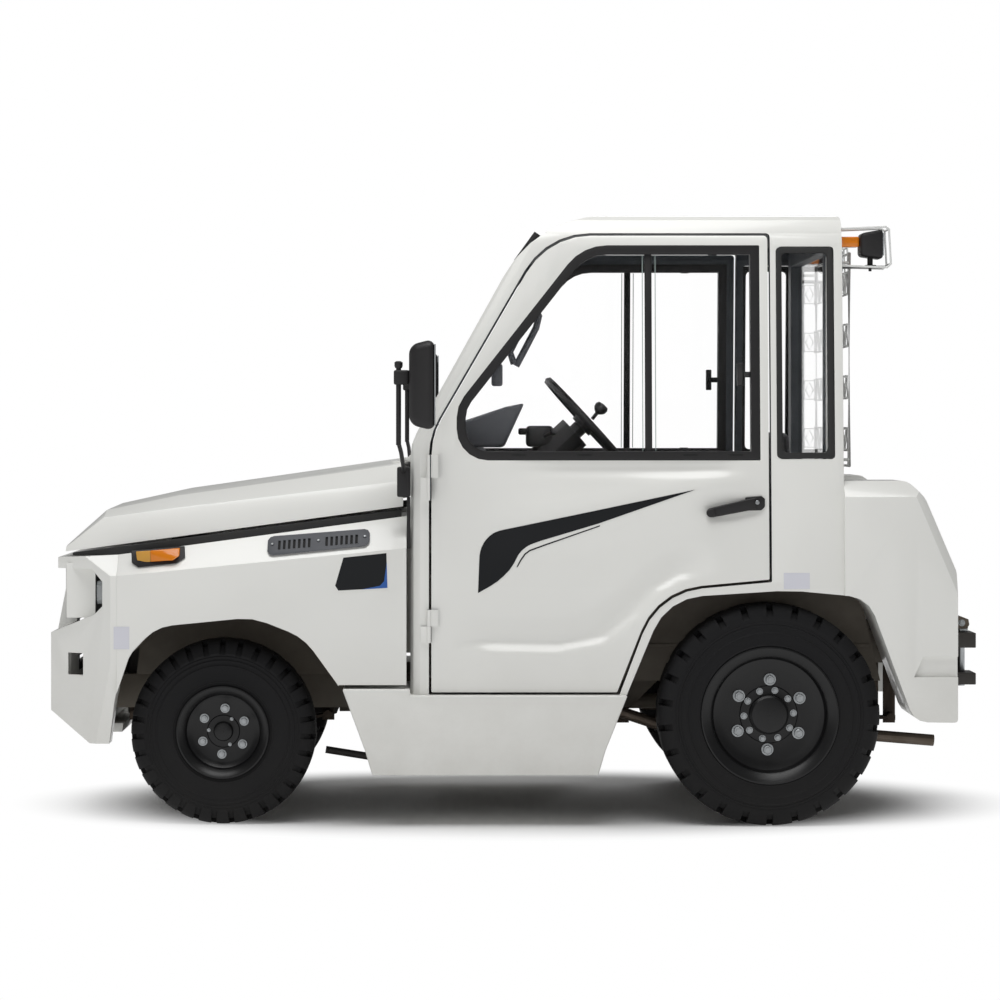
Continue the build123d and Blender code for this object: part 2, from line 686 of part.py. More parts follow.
hood = facet_loft([
    hood_station(hood_tip_x, 20, 32, 14, 80, 20, 24),
    hood_station(hood_knee_x, 0, 40, 92, 130, 114, 124),
    hood_station(hood_mid_x, 0, 44, 92, 140, 130, 144),
    hood_station(hood_back_x, 0, 44, 81, 150, 134, 150),
])
hood_hinge_x = cab_front_x - 12
hinge_half = 30.0
cowl_ears = []
for side in (-1, 1):
    y0 = side * hood_hinge_y - hinge_half
    y1 = side * hood_hinge_y + hinge_half
    hood += rod((hood_hinge_x, y0, hood_hinge_z), (hood_hinge_x, y1, hood_hinge_z), hood_hinge_radius)
    hood += block((hood_back_x - 40, y0, hood_hinge_z - 14), (hood_hinge_x, y1, hood_hinge_z - 6))
    for a, b in ((y0 - 12.3, y0 - 0.3), (y1 + 0.3, y1 + 12.3)):
        ear = rod((hood_hinge_x, a, hood_hinge_z), (hood_hinge_x, b, hood_hinge_z), hood_hinge_radius)
        ear += block((hood_hinge_x, a, hood_hinge_z - 8), (cab_front_x + 1, b, hood_hinge_z + 8))
        cowl_ears.append(ear)
save(hood, "hood")


# Cab envelope

cab_profile = [
    (-cab_half_low, 380), (-cab_half_low, flare_z), (-cab_half_belt, belt_z), (-cab_half_roof, eave_z),
    (-cab_half_roof + 40, roof_z), (cab_half_roof - 40, roof_z), (cab_half_roof, eave_z), (cab_half_belt,
        belt_z),
    (cab_half_low, flare_z), (cab_half_low, 380),
]
profile_radii = [0, 0, 0, 60, 60, 60, 60, 0, 0, 0]
roof_meet_x = cab_front_x + 23 + (roof_z - 1257) / windscreen_slope
silhouette = [
    (cab_front_x, 380), (cab_front_x, windscreen_foot_z), (roof_meet_x, roof_z), (cab_back_x,
        roof_z), (cab_back_x, 380),
]
cab_outer = xz_prism(silhouette, -800, 800, [0, 160, roof_front_radius, 16, 0]) & \
    yz_prism(cab_profile, cab_front_x - 10, cab_back_x + 10, profile_radii)
forward, screen_normal = (-1, 0, 0), (-windscreen_slope, 0, 1)
screen_at_eave_x = roof_meet_x - (roof_z - eave_z) / windscreen_slope
for side in (-1, 1):
    belt_lean = (cab_half_low - cab_half_belt) / (belt_z - flare_z)
    roof_lean = (cab_half_belt - cab_half_roof) / (eave_z - belt_z)
    for point, face, lean in (
            ((cab_front_x, side * cab_half_low, flare_z), forward, 0.0),
            ((cab_front_x, side * cab_half_belt, belt_z), forward, belt_lean),
            ((screen_at_eave_x, side * cab_half_roof, eave_z), screen_normal, roof_lean)):
        cab_outer = round_edge(cab_outer, point, face, (0, side, lean), pillar_radius)

w = cab_wall
inner_profile = [(y - math.copysign(w, y), z - (w if z > 1300 and z == roof_z else 0)) for y,
    z in cab_profile]
inner_profile[0] = (inner_profile[0][0], 300)
inner_profile[-1] = (inner_profile[-1][0], 300)
slope_shift = w * math.sqrt(1 + windscreen_slope ** 2) / windscreen_slope
inner_silhouette = [
    (cab_front_x + w, 300), (cab_front_x + w,
        windscreen_foot_z - 10), (roof_meet_x + slope_shift - w / windscreen_slope, roof_z - w),
    (cab_back_x - w, roof_z - w), (cab_back_x - w, 300),
]
cab_inner = xz_prism(inner_silhouette, -800, 800, [0, 160, roof_front_radius - w, 0, 0]) & \
    yz_prism(inner_profile, cab_front_x - 10, cab_back_x + 10)
cab_shell = cab_outer - cab_inner

# Wheel arch over the rear wheel
rear_arch = [
    (rear_axle_x - 520, 200.0), (rear_axle_x - 452, 427.0), (rear_axle_x - 328,
        726.0), (rear_axle_x + 60, 751.0),
    (rear_axle_x + 308, 728.0), (rear_axle_x + 454, 335.0), (rear_axle_x + 640,
        331.0), (rear_axle_x + 640, 200.0),
]
rear_arch_radii = [0, 0, 180, 500, 95, 60, 0, 0]
rear_arch_cut = xz_prism(rear_arch, -900, 900, rear_arch_radii)

# Door outline
door_slope = 1.726
door_knee_z = 1240.0
door_crown_x = door_front_x + (door_top_z - door_knee_z) / door_slope
door_arch_x = rear_axle_x - 355.5


def door_points(gap):
    """The (x, z) outline of the door opening, or of the door with its gap."""
    g = gap
    return [
        (door_front_x + g, door_bottom_z + g - door_gap), (door_front_x + g,
            door_knee_z - g * 0.3), (door_crown_x + g * 0.6, door_top_z - g),
        (door_rear_x - g, door_top_z - g), (door_rear_x - g, 777 + g), (door_arch_x - g * 0.5, 744.3 + g),
        (rear_axle_x - 478 - g, door_bottom_z + g - door_gap),
    ]


door_radii = [4, 240, 240, 12, 4, 225, 4]
door_hole = xz_prism(door_points(0), -900, 900, door_radii)
door_region = xz_prism(door_points(door_gap), -900, 900, door_radii)

# Glass openings
quarter_points = [
    (door_rear_x + 24, belt_z + 4), (door_rear_x + 24, quarter_top_z), (cab_back_x - 27,
        quarter_top_z), (cab_back_x - 27, belt_z + 4)]
quarter_hole = xz_prism(quarter_points, -900, 900, 12)
screen_half = 540.0
rear_window = block((cab_back_x - 100, -470, belt_z - 10), (cab_back_x + 20, 470, 1834))

body_below = block((cab_front_x - 50, -900, 300), (cab_back_x + 50, 900, door_bottom_z - door_gap))
cab_shell -= body_below
screen_low_z, screen_high_z = 1232.0, 1836.0
screen_cut = xz_prism(
    [(cab_front_x - 60, screen_low_z), (cab_front_x + 120, screen_low_z), (roof_meet_x + 60,
        screen_high_z), (cab_front_x - 60, screen_high_z)],
    -screen_half, screen_half)
front_open = block((cab_front_x - 20, -560, 300), (cab_front_x + cab_wall + 20, 560, screen_low_z - 90))

side_x = cab_back_x - cab_wall
roof_split = block((cab_front_x - 60, -900, door_top_z), (cab_back_x + 60, 900, roof_z + 50))
back_split = block((side_x, -560, 300), (cab_back_x + 60, 560, door_top_z))
back_low = block((side_x - 5, -560, 300), (cab_back_x + 60, 560, bench_top_z - 12))
cab_roof = (cab_shell & roof_split) - screen_cut
cab_back = (cab_shell & back_split) - rear_window - back_low
save(cab_roof, "roof")
save(cab_back, "cab_back")

cowl_half = 585.0
cowl_region = block((cab_front_x - 60, -cowl_half, 300), (roof_meet_x + 60, cowl_half, door_top_z))
cab_front = (cab_shell & cowl_region) - screen_cut - front_open - door_hole
side_region = block((cab_front_x - 60, -900, 300), (side_x, 900, door_top_z)) - cowl_region + \
    block((side_x, -900, 300), (cab_back_x + 60, 900, door_top_z)) - back_split
cab_side = (cab_shell & side_region) - door_hole - quarter_hole - rear_arch_cut


def hinge_barrel(z0, z1, leaf_x0, leaf_x1):
    """One part of a door hinge on the right side: a barrel and the leaf that carries it."""
    barrel = rod((door_front_x, hinge_y, z0), (door_front_x, hinge_y, z1), hinge_radius, 6)
    leaf = block((leaf_x0, hinge_y - 44, z0), (leaf_x1, hinge_y, z1))
    return barrel + leaf


pillar_hinges = []
door_hinges = []
for z0, z1 in door_hinges_z:
    middle = (z0 + z1) / 2
    pillar_hinges.append(hinge_barrel(z0, middle - 0.15, door_front_x - 26, door_front_x - 1))
    door_hinges.append(hinge_barrel(middle + 0.15, z1, door_front_x + 1, door_front_x + 30))
for part in pillar_hinges:
    cab_side = cab_side + part + other_side(part)
save(cab_side, "cab_sides")
save(cab_front + cowl_ears, "cab_front")

# Floor and firewall
tub_half = cab_half_low - cab_wall - 8
floor_back_x = rear_axle_x - 480
tub = block((cab_front_x + cab_wall + 2, -tub_half, rail_top_z), (floor_back_x, tub_half,
    rail_top_z + floor_thickness))
tub += block((cab_front_x + cab_wall + 2, -540, rail_top_z), (cab_front_x + cab_wall + 14, 540,
    screen_low_z - 150))
tub += block((floor_back_x - 12, -tub_half, rail_top_z), (floor_back_x, tub_half, bench_top_z))
tub += block((floor_back_x - 12, -tub_half, bench_top_z - 12), (cab_back_x - cab_wall, tub_half,
    bench_top_z))
save(tub, "cab_floor")

# Doors

def door_flare():
    """The raised lower part of the right door's skin, which swells towards the rear arch."""
    outer = [
        (door_front_x + 60, 445.0), (door_front_x + 110, 590.0), (door_front_x + 420,
            588.0), (rear_axle_x - 545, 622.0),
        (rear_axle_x - 470, 690.0), (rear_axle_x - 405, 748.0), (rear_axle_x - 410,
            690.0), (rear_axle_x - 448, 590.0),
        (rear_axle_x - 490, 445.0)]
    inner = [
        (door_front_x + 90, 465.0), (door_front_x + 140, 548.0), (door_front_x + 430,
            545.0), (rear_axle_x - 530, 572.0),
        (rear_axle_x - 460, 640.0), (rear_axle_x - 425, 690.0), (rear_axle_x - 432,
            660.0), (rear_axle_x - 465, 580.0),
        (rear_axle_x - 500, 465.0)]
    return solid_through([
        [Vector(x, cab_half_low - 3, z) for x, z in outer], [Vector(x, cab_half_low, z) for x, z in outer],
        [Vector(x, cab_half_low + flare_height, z) for x, z in inner]])


door_skin = (cab_shell & door_region)
window_points = [
    (door_front_x + 88, belt_z), (door_front_x + 88, 1276 + 60), (door_front_x + 490,
        window_top_z), (door_rear_x - 34, window_top_z), (door_rear_x - 34, belt_z)]
window_radii = [100, 110, 160, 4, 4]
window_hole = xz_prism(window_points, -900, 900, window_radii)


def inset_face(points, radii, amount):
    return offset(outline_face(points, radii), amount=-amount, kind=Kind.INTERSECTION)


glass_plane = Plane(origin=(0, 900, 0), x_dir=(1, 0, 0), z_dir=(0, -1, 0))
window_inner = extrude(glass_plane * inset_face(window_points, window_radii, door_frame_width), 1800)
door_panels = door_skin - window_hole
flare = door_flare()
door_panels += [flare, other_side(flare)]
for part in door_hinges:
    door_panels = door_panels + part + other_side(part)
frame_band = (cab_shell & (window_hole - window_inner))
bar_x = door_front_x + 905
middle_bar = block((bar_x - 14, -900, belt_z), (bar_x + 14, 900, window_top_z))
slim_outer = yz_prism([(y + math.copysign(0.5, y) - math.copysign(8, y), z) for y, z in cab_profile],
    cab_front_x - 10, cab_back_x + 10, profile_radii)
slim_inner = yz_prism([(y - math.copysign(26, y), z) for y, z in cab_profile], cab_front_x - 10,
    cab_back_x + 10, profile_radii)
glass_outer = yz_prism([(y - math.copysign(14, y), z) for y, z in cab_profile], cab_front_x - 10,
    cab_back_x + 10, profile_radii)
glass_inner = yz_prism([(y - math.copysign(14 + glass_thickness, y), z) for y, z in cab_profile],
    cab_front_x - 10, cab_back_x + 10, profile_radii)
pane = ((glass_outer - glass_inner) & window_inner) - middle_bar
frame_band += (slim_outer - slim_inner) & window_inner & middle_bar
quarter_glass = (glass_outer - glass_inner) & quarter_hole


def side_skin(lift):
    """The cab's side faces, moved outwards by a lift."""
    outline = [(y + math.copysign(lift, y), z) for y, z in cab_profile[:3] + cab_profile[-3:]]
    return yz_prism(outline, cab_front_x - 10, cab_back_x + 10)


handle_x1 = door_rear_x - 14
handle = (side_skin(6) - side_skin(0)) & xz_prism(
    [(handle_x1 - 66, 974.0), (handle_x1, 974.0), (handle_x1, 1042.0), (handle_x1 - 66, 1042.0)], -900, 900)
handle += (side_skin(20) - side_skin(5)) & xz_prism(
    [(handle_x1 - 176, 988.0), (handle_x1 - 12, 1006.0), (handle_x1 - 12, 1036.0), (handle_x1 - 176,
        1012.0)], -900, 900)
frame_band += [handle]
left_half = block((-3000, -1000, 0), (3000, 0, 3000))
right_half = block((-3000, 0, 0), (3000, 1000, 3000))
for label, half in (("left", left_half), ("right", right_half)):
    save(door_panels & half, f"door_{label}")
    save(frame_band & half, f"door_{label}_trim")
    save(pane & half, f"door_{label}_glass")

# Fixed glass
slope_angle = math.degrees(math.atan(windscreen_slope))
screen_outer = xz_prism(silhouette, -screen_half, screen_half, [0, 160, roof_front_radius, 16, 0])
screen_glass = (Pos(12, 0, -7) * screen_outer) - (Pos(12 + glass_thickness * 1.14, 0, -7) * screen_outer)
screen_glass &= screen_cut
rear_glass = block((cab_back_x - 22, -470, belt_z - 10), (cab_back_x - 22 + glass_thickness, 470, 1834))
save(Compound(children=[*screen_glass.solids(), *rear_glass.solids(), *quarter_glass.solids()]),
    "cab_glass")


# Rear fenders
fender_outline = [
    (cab_back_x, 700.0), (cab_back_x, rear_fender_top_z), (cab_back_x + 203, rear_fender_top_z),
    (cab_back_x + 258, 1042.0), (tail_x, 809.0), (tail_x, rear_fender_bottom_z), (cab_back_x + 200,
        rear_fender_bottom_z)]
fender_radii = [0, 6, 40, 50, 30, 10, 0]
fender_plane = Plane(origin=(0, body_half, 0), x_dir=(1, 0, 0), z_dir=(0, -1, 0))
fender_face = outline_face(fender_outline, fender_radii) - outline_face(rear_arch, rear_arch_radii)
rear_fender = extrude(fender_plane * fender_face, body_half - deck_half)
fender_inside = Plane(origin=(0, body_half - rear_fender_wall, 0), x_dir=(1, 0, 0), z_dir=(0, -1,
    0)) * offset(
    fender_face, amount=-rear_fender_wall, kind=Kind.INTERSECTION)
fender_hollow = extrude(fender_inside, body_half - deck_half - 2 * rear_fender_wall)
shoulder_normal = (0, 1, 1)
slope_normal = (233 / 253, 1, 99 / 253)
shoulder = (cab_back_x, body_half, rear_fender_top_z - shoulder_width)
slope = (tail_x - shoulder_width * 0.6, body_half, 809.0)
wall_shift = rear_fender_wall * 1.42
rear_fender -= beyond(shoulder, shoulder_normal)
rear_fender -= beyond(slope, slope_normal)
fender_hollow -= beyond((shoulder[0], shoulder[1], shoulder[2] - wall_shift), shoulder_normal)
fender_hollow -= beyond((slope[0] - wall_shift, slope[1], slope[2]), slope_normal)
rear_fender -= fender_hollow
rear_fender -= xz_prism(
    [(cab_back_x + 218, 477.0), (tail_x + 5, 477.0), (tail_x + 5, 542.0), (cab_back_x + 248, 542.0)],
    body_half - 12, body_half + 5)
save(both_sides(rear_fender), "rear_fenders")

# Rear deck and back panel
rear_plate_top_z = rail_bottom_z + rear_rail_rise + 130
deck_z = rear_fender_top_z - deck_drop
deck_outline = [
    (cab_back_x, deck_z), (cab_back_x + 195, deck_z), (cab_back_x + 245, 1010.0), (rear_plate_x, 800.0),
    (rear_plate_x, rear_plate_top_z), (rear_plate_x - 12, rear_plate_top_z), (rear_plate_x - 12, 797.0),
    (cab_back_x + 234, 1003.0), (cab_back_x + 190, deck_z - 12), (cab_back_x, deck_z - 12)]
save(xz_prism(deck_outline, -deck_half, deck_half), "rear_deck")

# Tail lamps on the back panel
tail_lamp = rod((rear_plate_x, 365, 740), (tail_x - 1, 365, 740), 46, 16)
save(both_sides(tail_lamp), "tail_lamps")

# Side sills
sill_half = sill_width_over / 2
sill_front_x = cab_front_x - 215
sill_back_x = rear_axle_x - 453
sill_outline = [
    (sill_front_x, sill_top_z + 20), (cab_front_x, sill_top_z + 20), (cab_front_x,
        sill_top_z), (sill_back_x, sill_top_z),
    (sill_back_x - 70, sill_crease_z), (sill_back_x - 92, sill_bottom_z), (sill_front_x + 95,
        sill_bottom_z),
    (sill_front_x + 72, sill_crease_z)]
sill = xz_prism(sill_outline, sill_half - sill_depth, sill_half)
section = [
    (sill_half - sill_depth, sill_bottom_z), (sill_half - 26, sill_bottom_z), (sill_half,
        sill_crease_z), (sill_half, 600),
    (sill_half - sill_depth, 600)]
sill &= yz_prism(section, sill_front_x - 5, sill_back_x + 5)
save(both_sides(sill), "sill_boxes")

# Seat, dashboard and steering
seat_x = cab_back_x - 565
cushion = block((seat_x - 110, -480, bench_top_z), (seat_x + 370, 0, bench_top_z + 110))
cushion = chamfer(cushion.edges().filter_by(Axis.X), 24)
back_points = [(seat_x + 260, bench_top_z + 100), (seat_x + 370, bench_top_z + 100), (seat_x + 440,
    1264.0), (seat_x + 350, 1264.0)]
backrest = xz_prism(back_points, -470, -10)
save(cushion + backrest, "seat")

dash_points = [
    (cab_front_x + cab_wall + 14, 980.0), (cab_front_x + cab_wall + 14, 1160.0), (cab_front_x + 260,
        1215.0), (cab_front_x + 190, 1060.0), (cab_front_x + 150, 980.0)]
save(xz_prism(dash_points, -535, 535, [0, 20, 20, 10, 0]), "dashboard")

wheel_centre = Vector(cab_front_x + 575, -240, 1284)
wheel_tilt = 47.6
wheel_axis = Vector(-math.sin(math.radians(wheel_tilt)), 0, -math.cos(math.radians(wheel_tilt)))
column_start = wheel_centre + wheel_axis * 24.3
column_end = wheel_centre + wheel_axis * 780
column = rod(tuple(column_start), tuple(column_end), 26)
cover = rod(tuple(wheel_centre + wheel_axis * 50), tuple(wheel_centre + wheel_axis * 300), 58)
column = (column + cover) & block((cab_front_x + cab_wall + 14, -400, 700), (400, 0, 1400))
save(column, "steering_column")

wheel_plane = Plane(origin=wheel_centre, z_dir=wheel_axis)
steering_radius = 185.0
grip_radius = 14.0
grip = [(steering_radius + grip_radius * math.cos(math.pi * k / 3),
    grip_radius * math.sin(math.pi * k / 3)) for k in range(6)]
grip_ring = Rot(90, 0, 0) * facet_ring(grip, 18)
steering_wheel = wheel_plane * grip_ring + extrude(wheel_plane.offset(-14) * RegularPolygon(40, 12), 38)
for i in range(3):
    angle = math.radians(90 + 120 * i)
    tip = wheel_plane.from_local_coords(Vector(steering_radius * math.cos(angle),
        steering_radius * math.sin(angle), 0))
    steering_wheel += rod(tuple(wheel_centre), tuple(tip), 9, 6)
save(steering_wheel, "steering_wheel")

# Tow coupling
jaw_low_z = 400.0
jaw_thickness = 39.0
jaw_gap = 85.0
jaw_top_z = jaw_low_z + jaw_thickness + jaw_gap
coupler_pin_radius = 12.5
coupler_pin_x = coupler_end_x - 40
coupler = block((rear_plate_x, -80, jaw_low_z), (rear_plate_x + 60, 80, jaw_top_z + 140))
coupler += block((rear_plate_x + 40, -65, jaw_low_z), (coupler_end_x, 65, jaw_low_z + jaw_thickness))
coupler += block((rear_plate_x + 40, -65, jaw_top_z), (coupler_end_x, 65, jaw_top_z + 50))
pin_hole = (coupler_pin_radius + 0.05) / math.cos(math.pi / 16)
coupler -= rod((coupler_pin_x, 0, jaw_low_z - 5), (coupler_pin_x, 0, jaw_top_z + 60), pin_hole, 16)
save(coupler, "tow_coupler")
pin = rod((coupler_pin_x, 0, jaw_low_z - 8), (coupler_pin_x, 0, jaw_top_z + 50.3), coupler_pin_radius, 0)
pin += rod((coupler_pin_x, 0, jaw_top_z + 50.3), (coupler_pin_x, 0, jaw_top_z + 66), 24, 10)
pin += rod((coupler_pin_x, 0, jaw_top_z + 60), (coupler_pin_x, 0, jaw_top_z + 95), coupler_pin_radius, 8)
save(pin, "coupler_pin")

# Mirrors
mirror_y = 840.0
mirror_post_x = cab_front_x - 34
mirror_base = block((cab_front_x - 42, 640, 1046), (cab_front_x, 680, 1142))
mirror_base += block((cab_front_x - 11, 652, 880), (cab_front_x, 672, 1047))
arm = rod((cab_front_x - 20, 660, 1130), (cab_front_x - 20, 660, 1210), 8, 6)
arm += rod((cab_front_x - 20, 660, 1204), (mirror_post_x, mirror_y, 1220), 8, 6)
arm += rod((mirror_post_x, mirror_y, 1212), (mirror_post_x, mirror_y, 1440), 8, 6)
arm += rod((mirror_post_x, mirror_y, 1425), (cab_front_x + 20, mirror_y, 1425), 12, 6)
head = block((cab_front_x - 1, mirror_y - 85, 1256), (cab_front_x + 86, mirror_y + 85, 1543))
head = chamfer(head.edges().filter_by(Axis.X), 30)
head = chamfer(head.faces().sort_by(Axis.X)[0].edges(), 22)
save(both_sides(mirror_base + arm + head), "mirrors")

# Rear window guard
guard_x = cab_back_x + 45
guard = rod((guard_x, -450, 1142), (guard_x, -450, 1831), 6, 6)
guard += rod((guard_x, 450, 1142), (guard_x, 450, 1831), 6, 6)
for z in (1142, 1831):
    guard += rod((guard_x, -450, z), (guard_x, 450, z), 6, 6)
for i in range(4):
    z = 1228 + i * 149
    guard += block((guard_x - 3, -450, z), (guard_x + 3, 450, z + 73))
for y in (-450, 450):
    for z in (1150, 1822):
        guard += rod((cab_back_x, y, z), (guard_x, y, z), 6, 6)
save(guard, "rear_guard")

# Rear work lamps, with their cages
lamp = block((cab_back_x + 70, 480, 1804), (cab_back_x + 140, 580, 1903))
lamp_bar = block((cab_back_x, 480, 1779), (cab_back_x + 150, 580, 1787))
post = rod((cab_back_x + 105, 530, 1785), (cab_back_x + 105, 530, 1810), 12)
save(both_sides(lamp + lamp_bar + post), "work_lamps")

# Exhaust, below the floor and under the rear axle
exhaust_y = -338.0
muffler_z = rail_bottom_z + 36
muffler_radius = 56.0
tail_pipe_radius = 19.0
pipe_z = rear_wheel_z - 90
muffler_x0 = cab_front_x + 130
muffler_x1 = cab_front_x + 430
exhaust = rod((muffler_x0, exhaust_y, muffler_z), (muffler_x1, exhaust_y, muffler_z), muffler_radius, 16)
exhaust += block((muffler_x0 + 100, exhaust_y - 10, muffler_z - 20), (muffler_x0 + 140, -rail_outer_y,
    muffler_z + 20))
path = Polyline(
    (muffler_x1 - 5, exhaust_y, muffler_z), (muffler_x1 + 120, exhaust_y, muffler_z), (rear_axle_x - 240,
        exhaust_y, pipe_z),
    (rear_axle_x + 300, exhaust_y, pipe_z), (rear_axle_x + 570, exhaust_y, pipe_z - 22))
section = Plane(origin=path @ 0, z_dir=path % 0) * RegularPolygon(tail_pipe_radius, 10)
exhaust += sweep(section, path=path, transition=Transition.RIGHT)
save(exhaust, "exhaust")

# Turn signals on the fender bevels
signal_x0 = nose_back_x + 7
signal_x1 = signal_x0 + 168


def on_bevel(x, share):
    """A point on the fender bevel: share 0 at the crease and 1 at the inner edge."""
    z0 = along(x, nose_back_x, crease_front_z, fender_end_x, crease_back_z)
    z1 = along(x, nose_back_x, bevel_front_z, fender_end_x, bevel_back_z)
    width = along(x, nose_back_x, bevel_front_width, fender_end_x, bevel_width)
    return body_half - width * share, z0 + (z1 - z0) * share


def bevel_bar(x0, x1, share0, share1, lift0, lift1):
    """A bar that lies on the fender bevel, from one lift above it to another."""
    stations = []
    for x in (x0, x1):
        (y0, z0), (y1, z1) = on_bevel(x, share0), on_bevel(x, share1)
        length = math.hypot(y1 - y0, z1 - z0)
        ny, nz = (z1 - z0) / length, (y0 - y1) / length
        stations.append((x, [
            (y0 + ny * lift0, z0 + nz * lift0), (y1 + ny * lift0, z1 + nz * lift0),
            (y1 + ny * lift1, z1 + nz * lift1), (y0 + ny * lift1, z0 + nz * lift1)]))
    return facet_loft(stations)


signal = bevel_bar(signal_x0, signal_x1, 0.10, 0.62, 0, 8)
signal += bevel_bar(signal_x0 + 16, signal_x1 - 30, 0.16, 0.56, 7.9, 34)
save(both_sides(signal), "turn_signals")

# Louvred vents on the fender bevels
vent_x0 = nose_back_x + 455
vent_x1 = vent_x0 + 322
vent = bevel_bar(vent_x0, vent_x1, 0.14, 0.80, 0, 8)
save(both_sides(vent), "side_vents")
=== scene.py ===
import json
import math

import bmesh
import bpy
from mathutils import Matrix, Vector


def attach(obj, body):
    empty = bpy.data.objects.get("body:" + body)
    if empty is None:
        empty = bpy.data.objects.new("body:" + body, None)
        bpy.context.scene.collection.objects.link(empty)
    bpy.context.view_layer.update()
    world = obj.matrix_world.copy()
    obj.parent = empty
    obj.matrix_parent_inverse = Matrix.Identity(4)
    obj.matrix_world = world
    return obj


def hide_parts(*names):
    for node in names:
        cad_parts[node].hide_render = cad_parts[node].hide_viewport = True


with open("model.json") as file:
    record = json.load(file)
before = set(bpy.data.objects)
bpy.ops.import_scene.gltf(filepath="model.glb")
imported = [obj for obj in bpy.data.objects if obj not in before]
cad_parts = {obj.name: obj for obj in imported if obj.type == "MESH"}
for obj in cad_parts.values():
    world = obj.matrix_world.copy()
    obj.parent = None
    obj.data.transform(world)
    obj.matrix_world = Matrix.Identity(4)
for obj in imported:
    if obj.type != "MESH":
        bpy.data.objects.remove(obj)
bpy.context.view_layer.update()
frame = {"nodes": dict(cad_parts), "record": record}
nodes = frame["nodes"]
print("stage: frame loaded,", len(nodes), "nodes")


# camera, at the photograph's viewing angle: level, square to the left side, 10.5 m away
cameraView = {"place": (-0.226, -10.5, 1.281), "lens": 111.56, "sensor": 36.0, "shiftX": 0.044, "shiftY": -0.077,
              "clipEnd": 60.0}

cameraData = bpy.data.cameras.new("camera")
cameraData.lens = cameraView["lens"]
cameraData.sensor_width = cameraView["sensor"]
cameraData.shift_x = cameraView["shiftX"]
cameraData.shift_y = cameraView["shiftY"]
cameraData.clip_end = cameraView["clipEnd"]
camera = bpy.data.objects.new("camera", cameraData)
camera.location = cameraView["place"]
camera.rotation_euler = (math.pi / 2, 0.0, 0.0)
bpy.context.scene.collection.objects.link(camera)
bpy.context.scene.camera = camera
bpy.context.scene.view_settings.view_transform = "Standard"


# materials

def toLinear(hexColour):
    values = [int(hexColour[i:i + 2], 16) / 255 for i in (1, 3, 5)]
    return tuple(v / 12.92 if v <= 0.04045 else ((v + 0.055) / 1.055) ** 2.4 for v in values) + (1.0,)


def addNode(tree, kind, settings=None, values=None, links=None):
    node = tree.nodes.new(kind)
    for key, value in (settings or {}).items():
        setattr(node, key, value)
    for key, value in (values or {}).items():
        node.inputs[key].default_value = value
    for key, socket in (links or {}).items():
        tree.links.new(socket, node.inputs[key])
    return node


# noise that all surfaces share, the depth of the bump, and the gloss of clear coats
surface = {"drift": {"Detail": 4.0, "Roughness": 0.55}, "grime": {"Scale": 9.0, "Detail": 8.0, "Roughness": 0.7},
           "grain": {"Detail": 3.0}, "film": {"Scale": 14.0, "Detail": 5.0}, "bump": 0.0006, "coatRoughness": 0.08}


def startMaterial(name):
    material = bpy.data.materials.new(name)
    material.use_nodes = True
    tree = material.node_tree
    place = addNode(tree, "ShaderNodeTexCoord").outputs["Object"]
    return material, tree, tree.nodes["Principled BSDF"], place


def addNoise(tree, place, values):
    return addNode(tree, "ShaderNodeTexNoise", values=values, links={"Vector": place}).outputs["Fac"]


def addRoughness(tree, shader, rough, share):
    values = {"To Min": rough[0], "To Max": rough[1]}
    spread = addNode(tree, "ShaderNodeMapRange", values=values, links={"Value": share})
    tree.links.new(spread.outputs["Result"], shader.inputs["Roughness"])


def makeFinish(name, look):
    # one recipe for all opaque surfaces: a base colour that drifts, grime that gathers low down, and a fine bump
    material, tree, shader, place = startMaterial(name)
    shader.inputs["Metallic"].default_value = look.get("metallic", 0.0)
    shader.inputs["IOR"].default_value = look.get("ior", 1.5)
    shader.inputs["Coat Weight"].default_value = look.get("coat", 0.0)
    shader.inputs["Coat Roughness"].default_value = surface["coatRoughness"]
    drift = addNoise(tree, place, dict(surface["drift"], Scale=1000 / look["driftMm"]))
    colours = addNode(tree, "ShaderNodeMix", {"data_type": "RGBA"}, links={0: drift})
    colours.inputs[6].default_value = toLinear(look["colour"])
    colours.inputs[7].default_value = toLinear(look["drift"])
    result = colours.outputs[2]
    if "grime" in look:
        split = addNode(tree, "ShaderNodeSeparateXYZ", links={"Vector": place})
        reach = {"From Min": look["grimeTop"], "From Max": look["grimeFoot"], "To Min": 0.0,
                 "To Max": look["grimeShare"]}
        height = addNode(tree, "ShaderNodeMapRange", values=reach, links={"Value": split.outputs["Z"]})
        share = addNode(tree, "ShaderNodeMath", {"operation": "MULTIPLY"},
                        links={0: height.outputs["Result"], 1: addNoise(tree, place, surface["grime"])})
        grimy = addNode(tree, "ShaderNodeMix", {"data_type": "RGBA"}, links={0: share.outputs[0], 6: result})
        grimy.inputs[7].default_value = toLinear(look["grime"])
        result = grimy.outputs[2]
    tree.links.new(result, shader.inputs["Base Color"])
    addRoughness(tree, shader, look["rough"], drift)
    grain = addNoise(tree, place, dict(surface["grain"], Scale=1000 / look["grainMm"]))
    bump = addNode(tree, "ShaderNodeBump", values={"Strength": look["grain"], "Distance": surface["bump"]},
                   links={"Height": grain})
    tree.links.new(bump.outputs["Normal"], shader.inputs["Normal"])
    return material


def makeClear(name, look):
    # glass and lens plastics
    material, tree, shader, place = startMaterial(name)
    shader.inputs["Base Color"].default_value = toLinear(look["colour"])
    shader.inputs["Transmission Weight"].default_value = look["transmission"]
    shader.inputs["IOR"].default_value = look["ior"]
    addRoughness(tree, shader, look["rough"], addNoise(tree, place, surface["film"]))
    return material


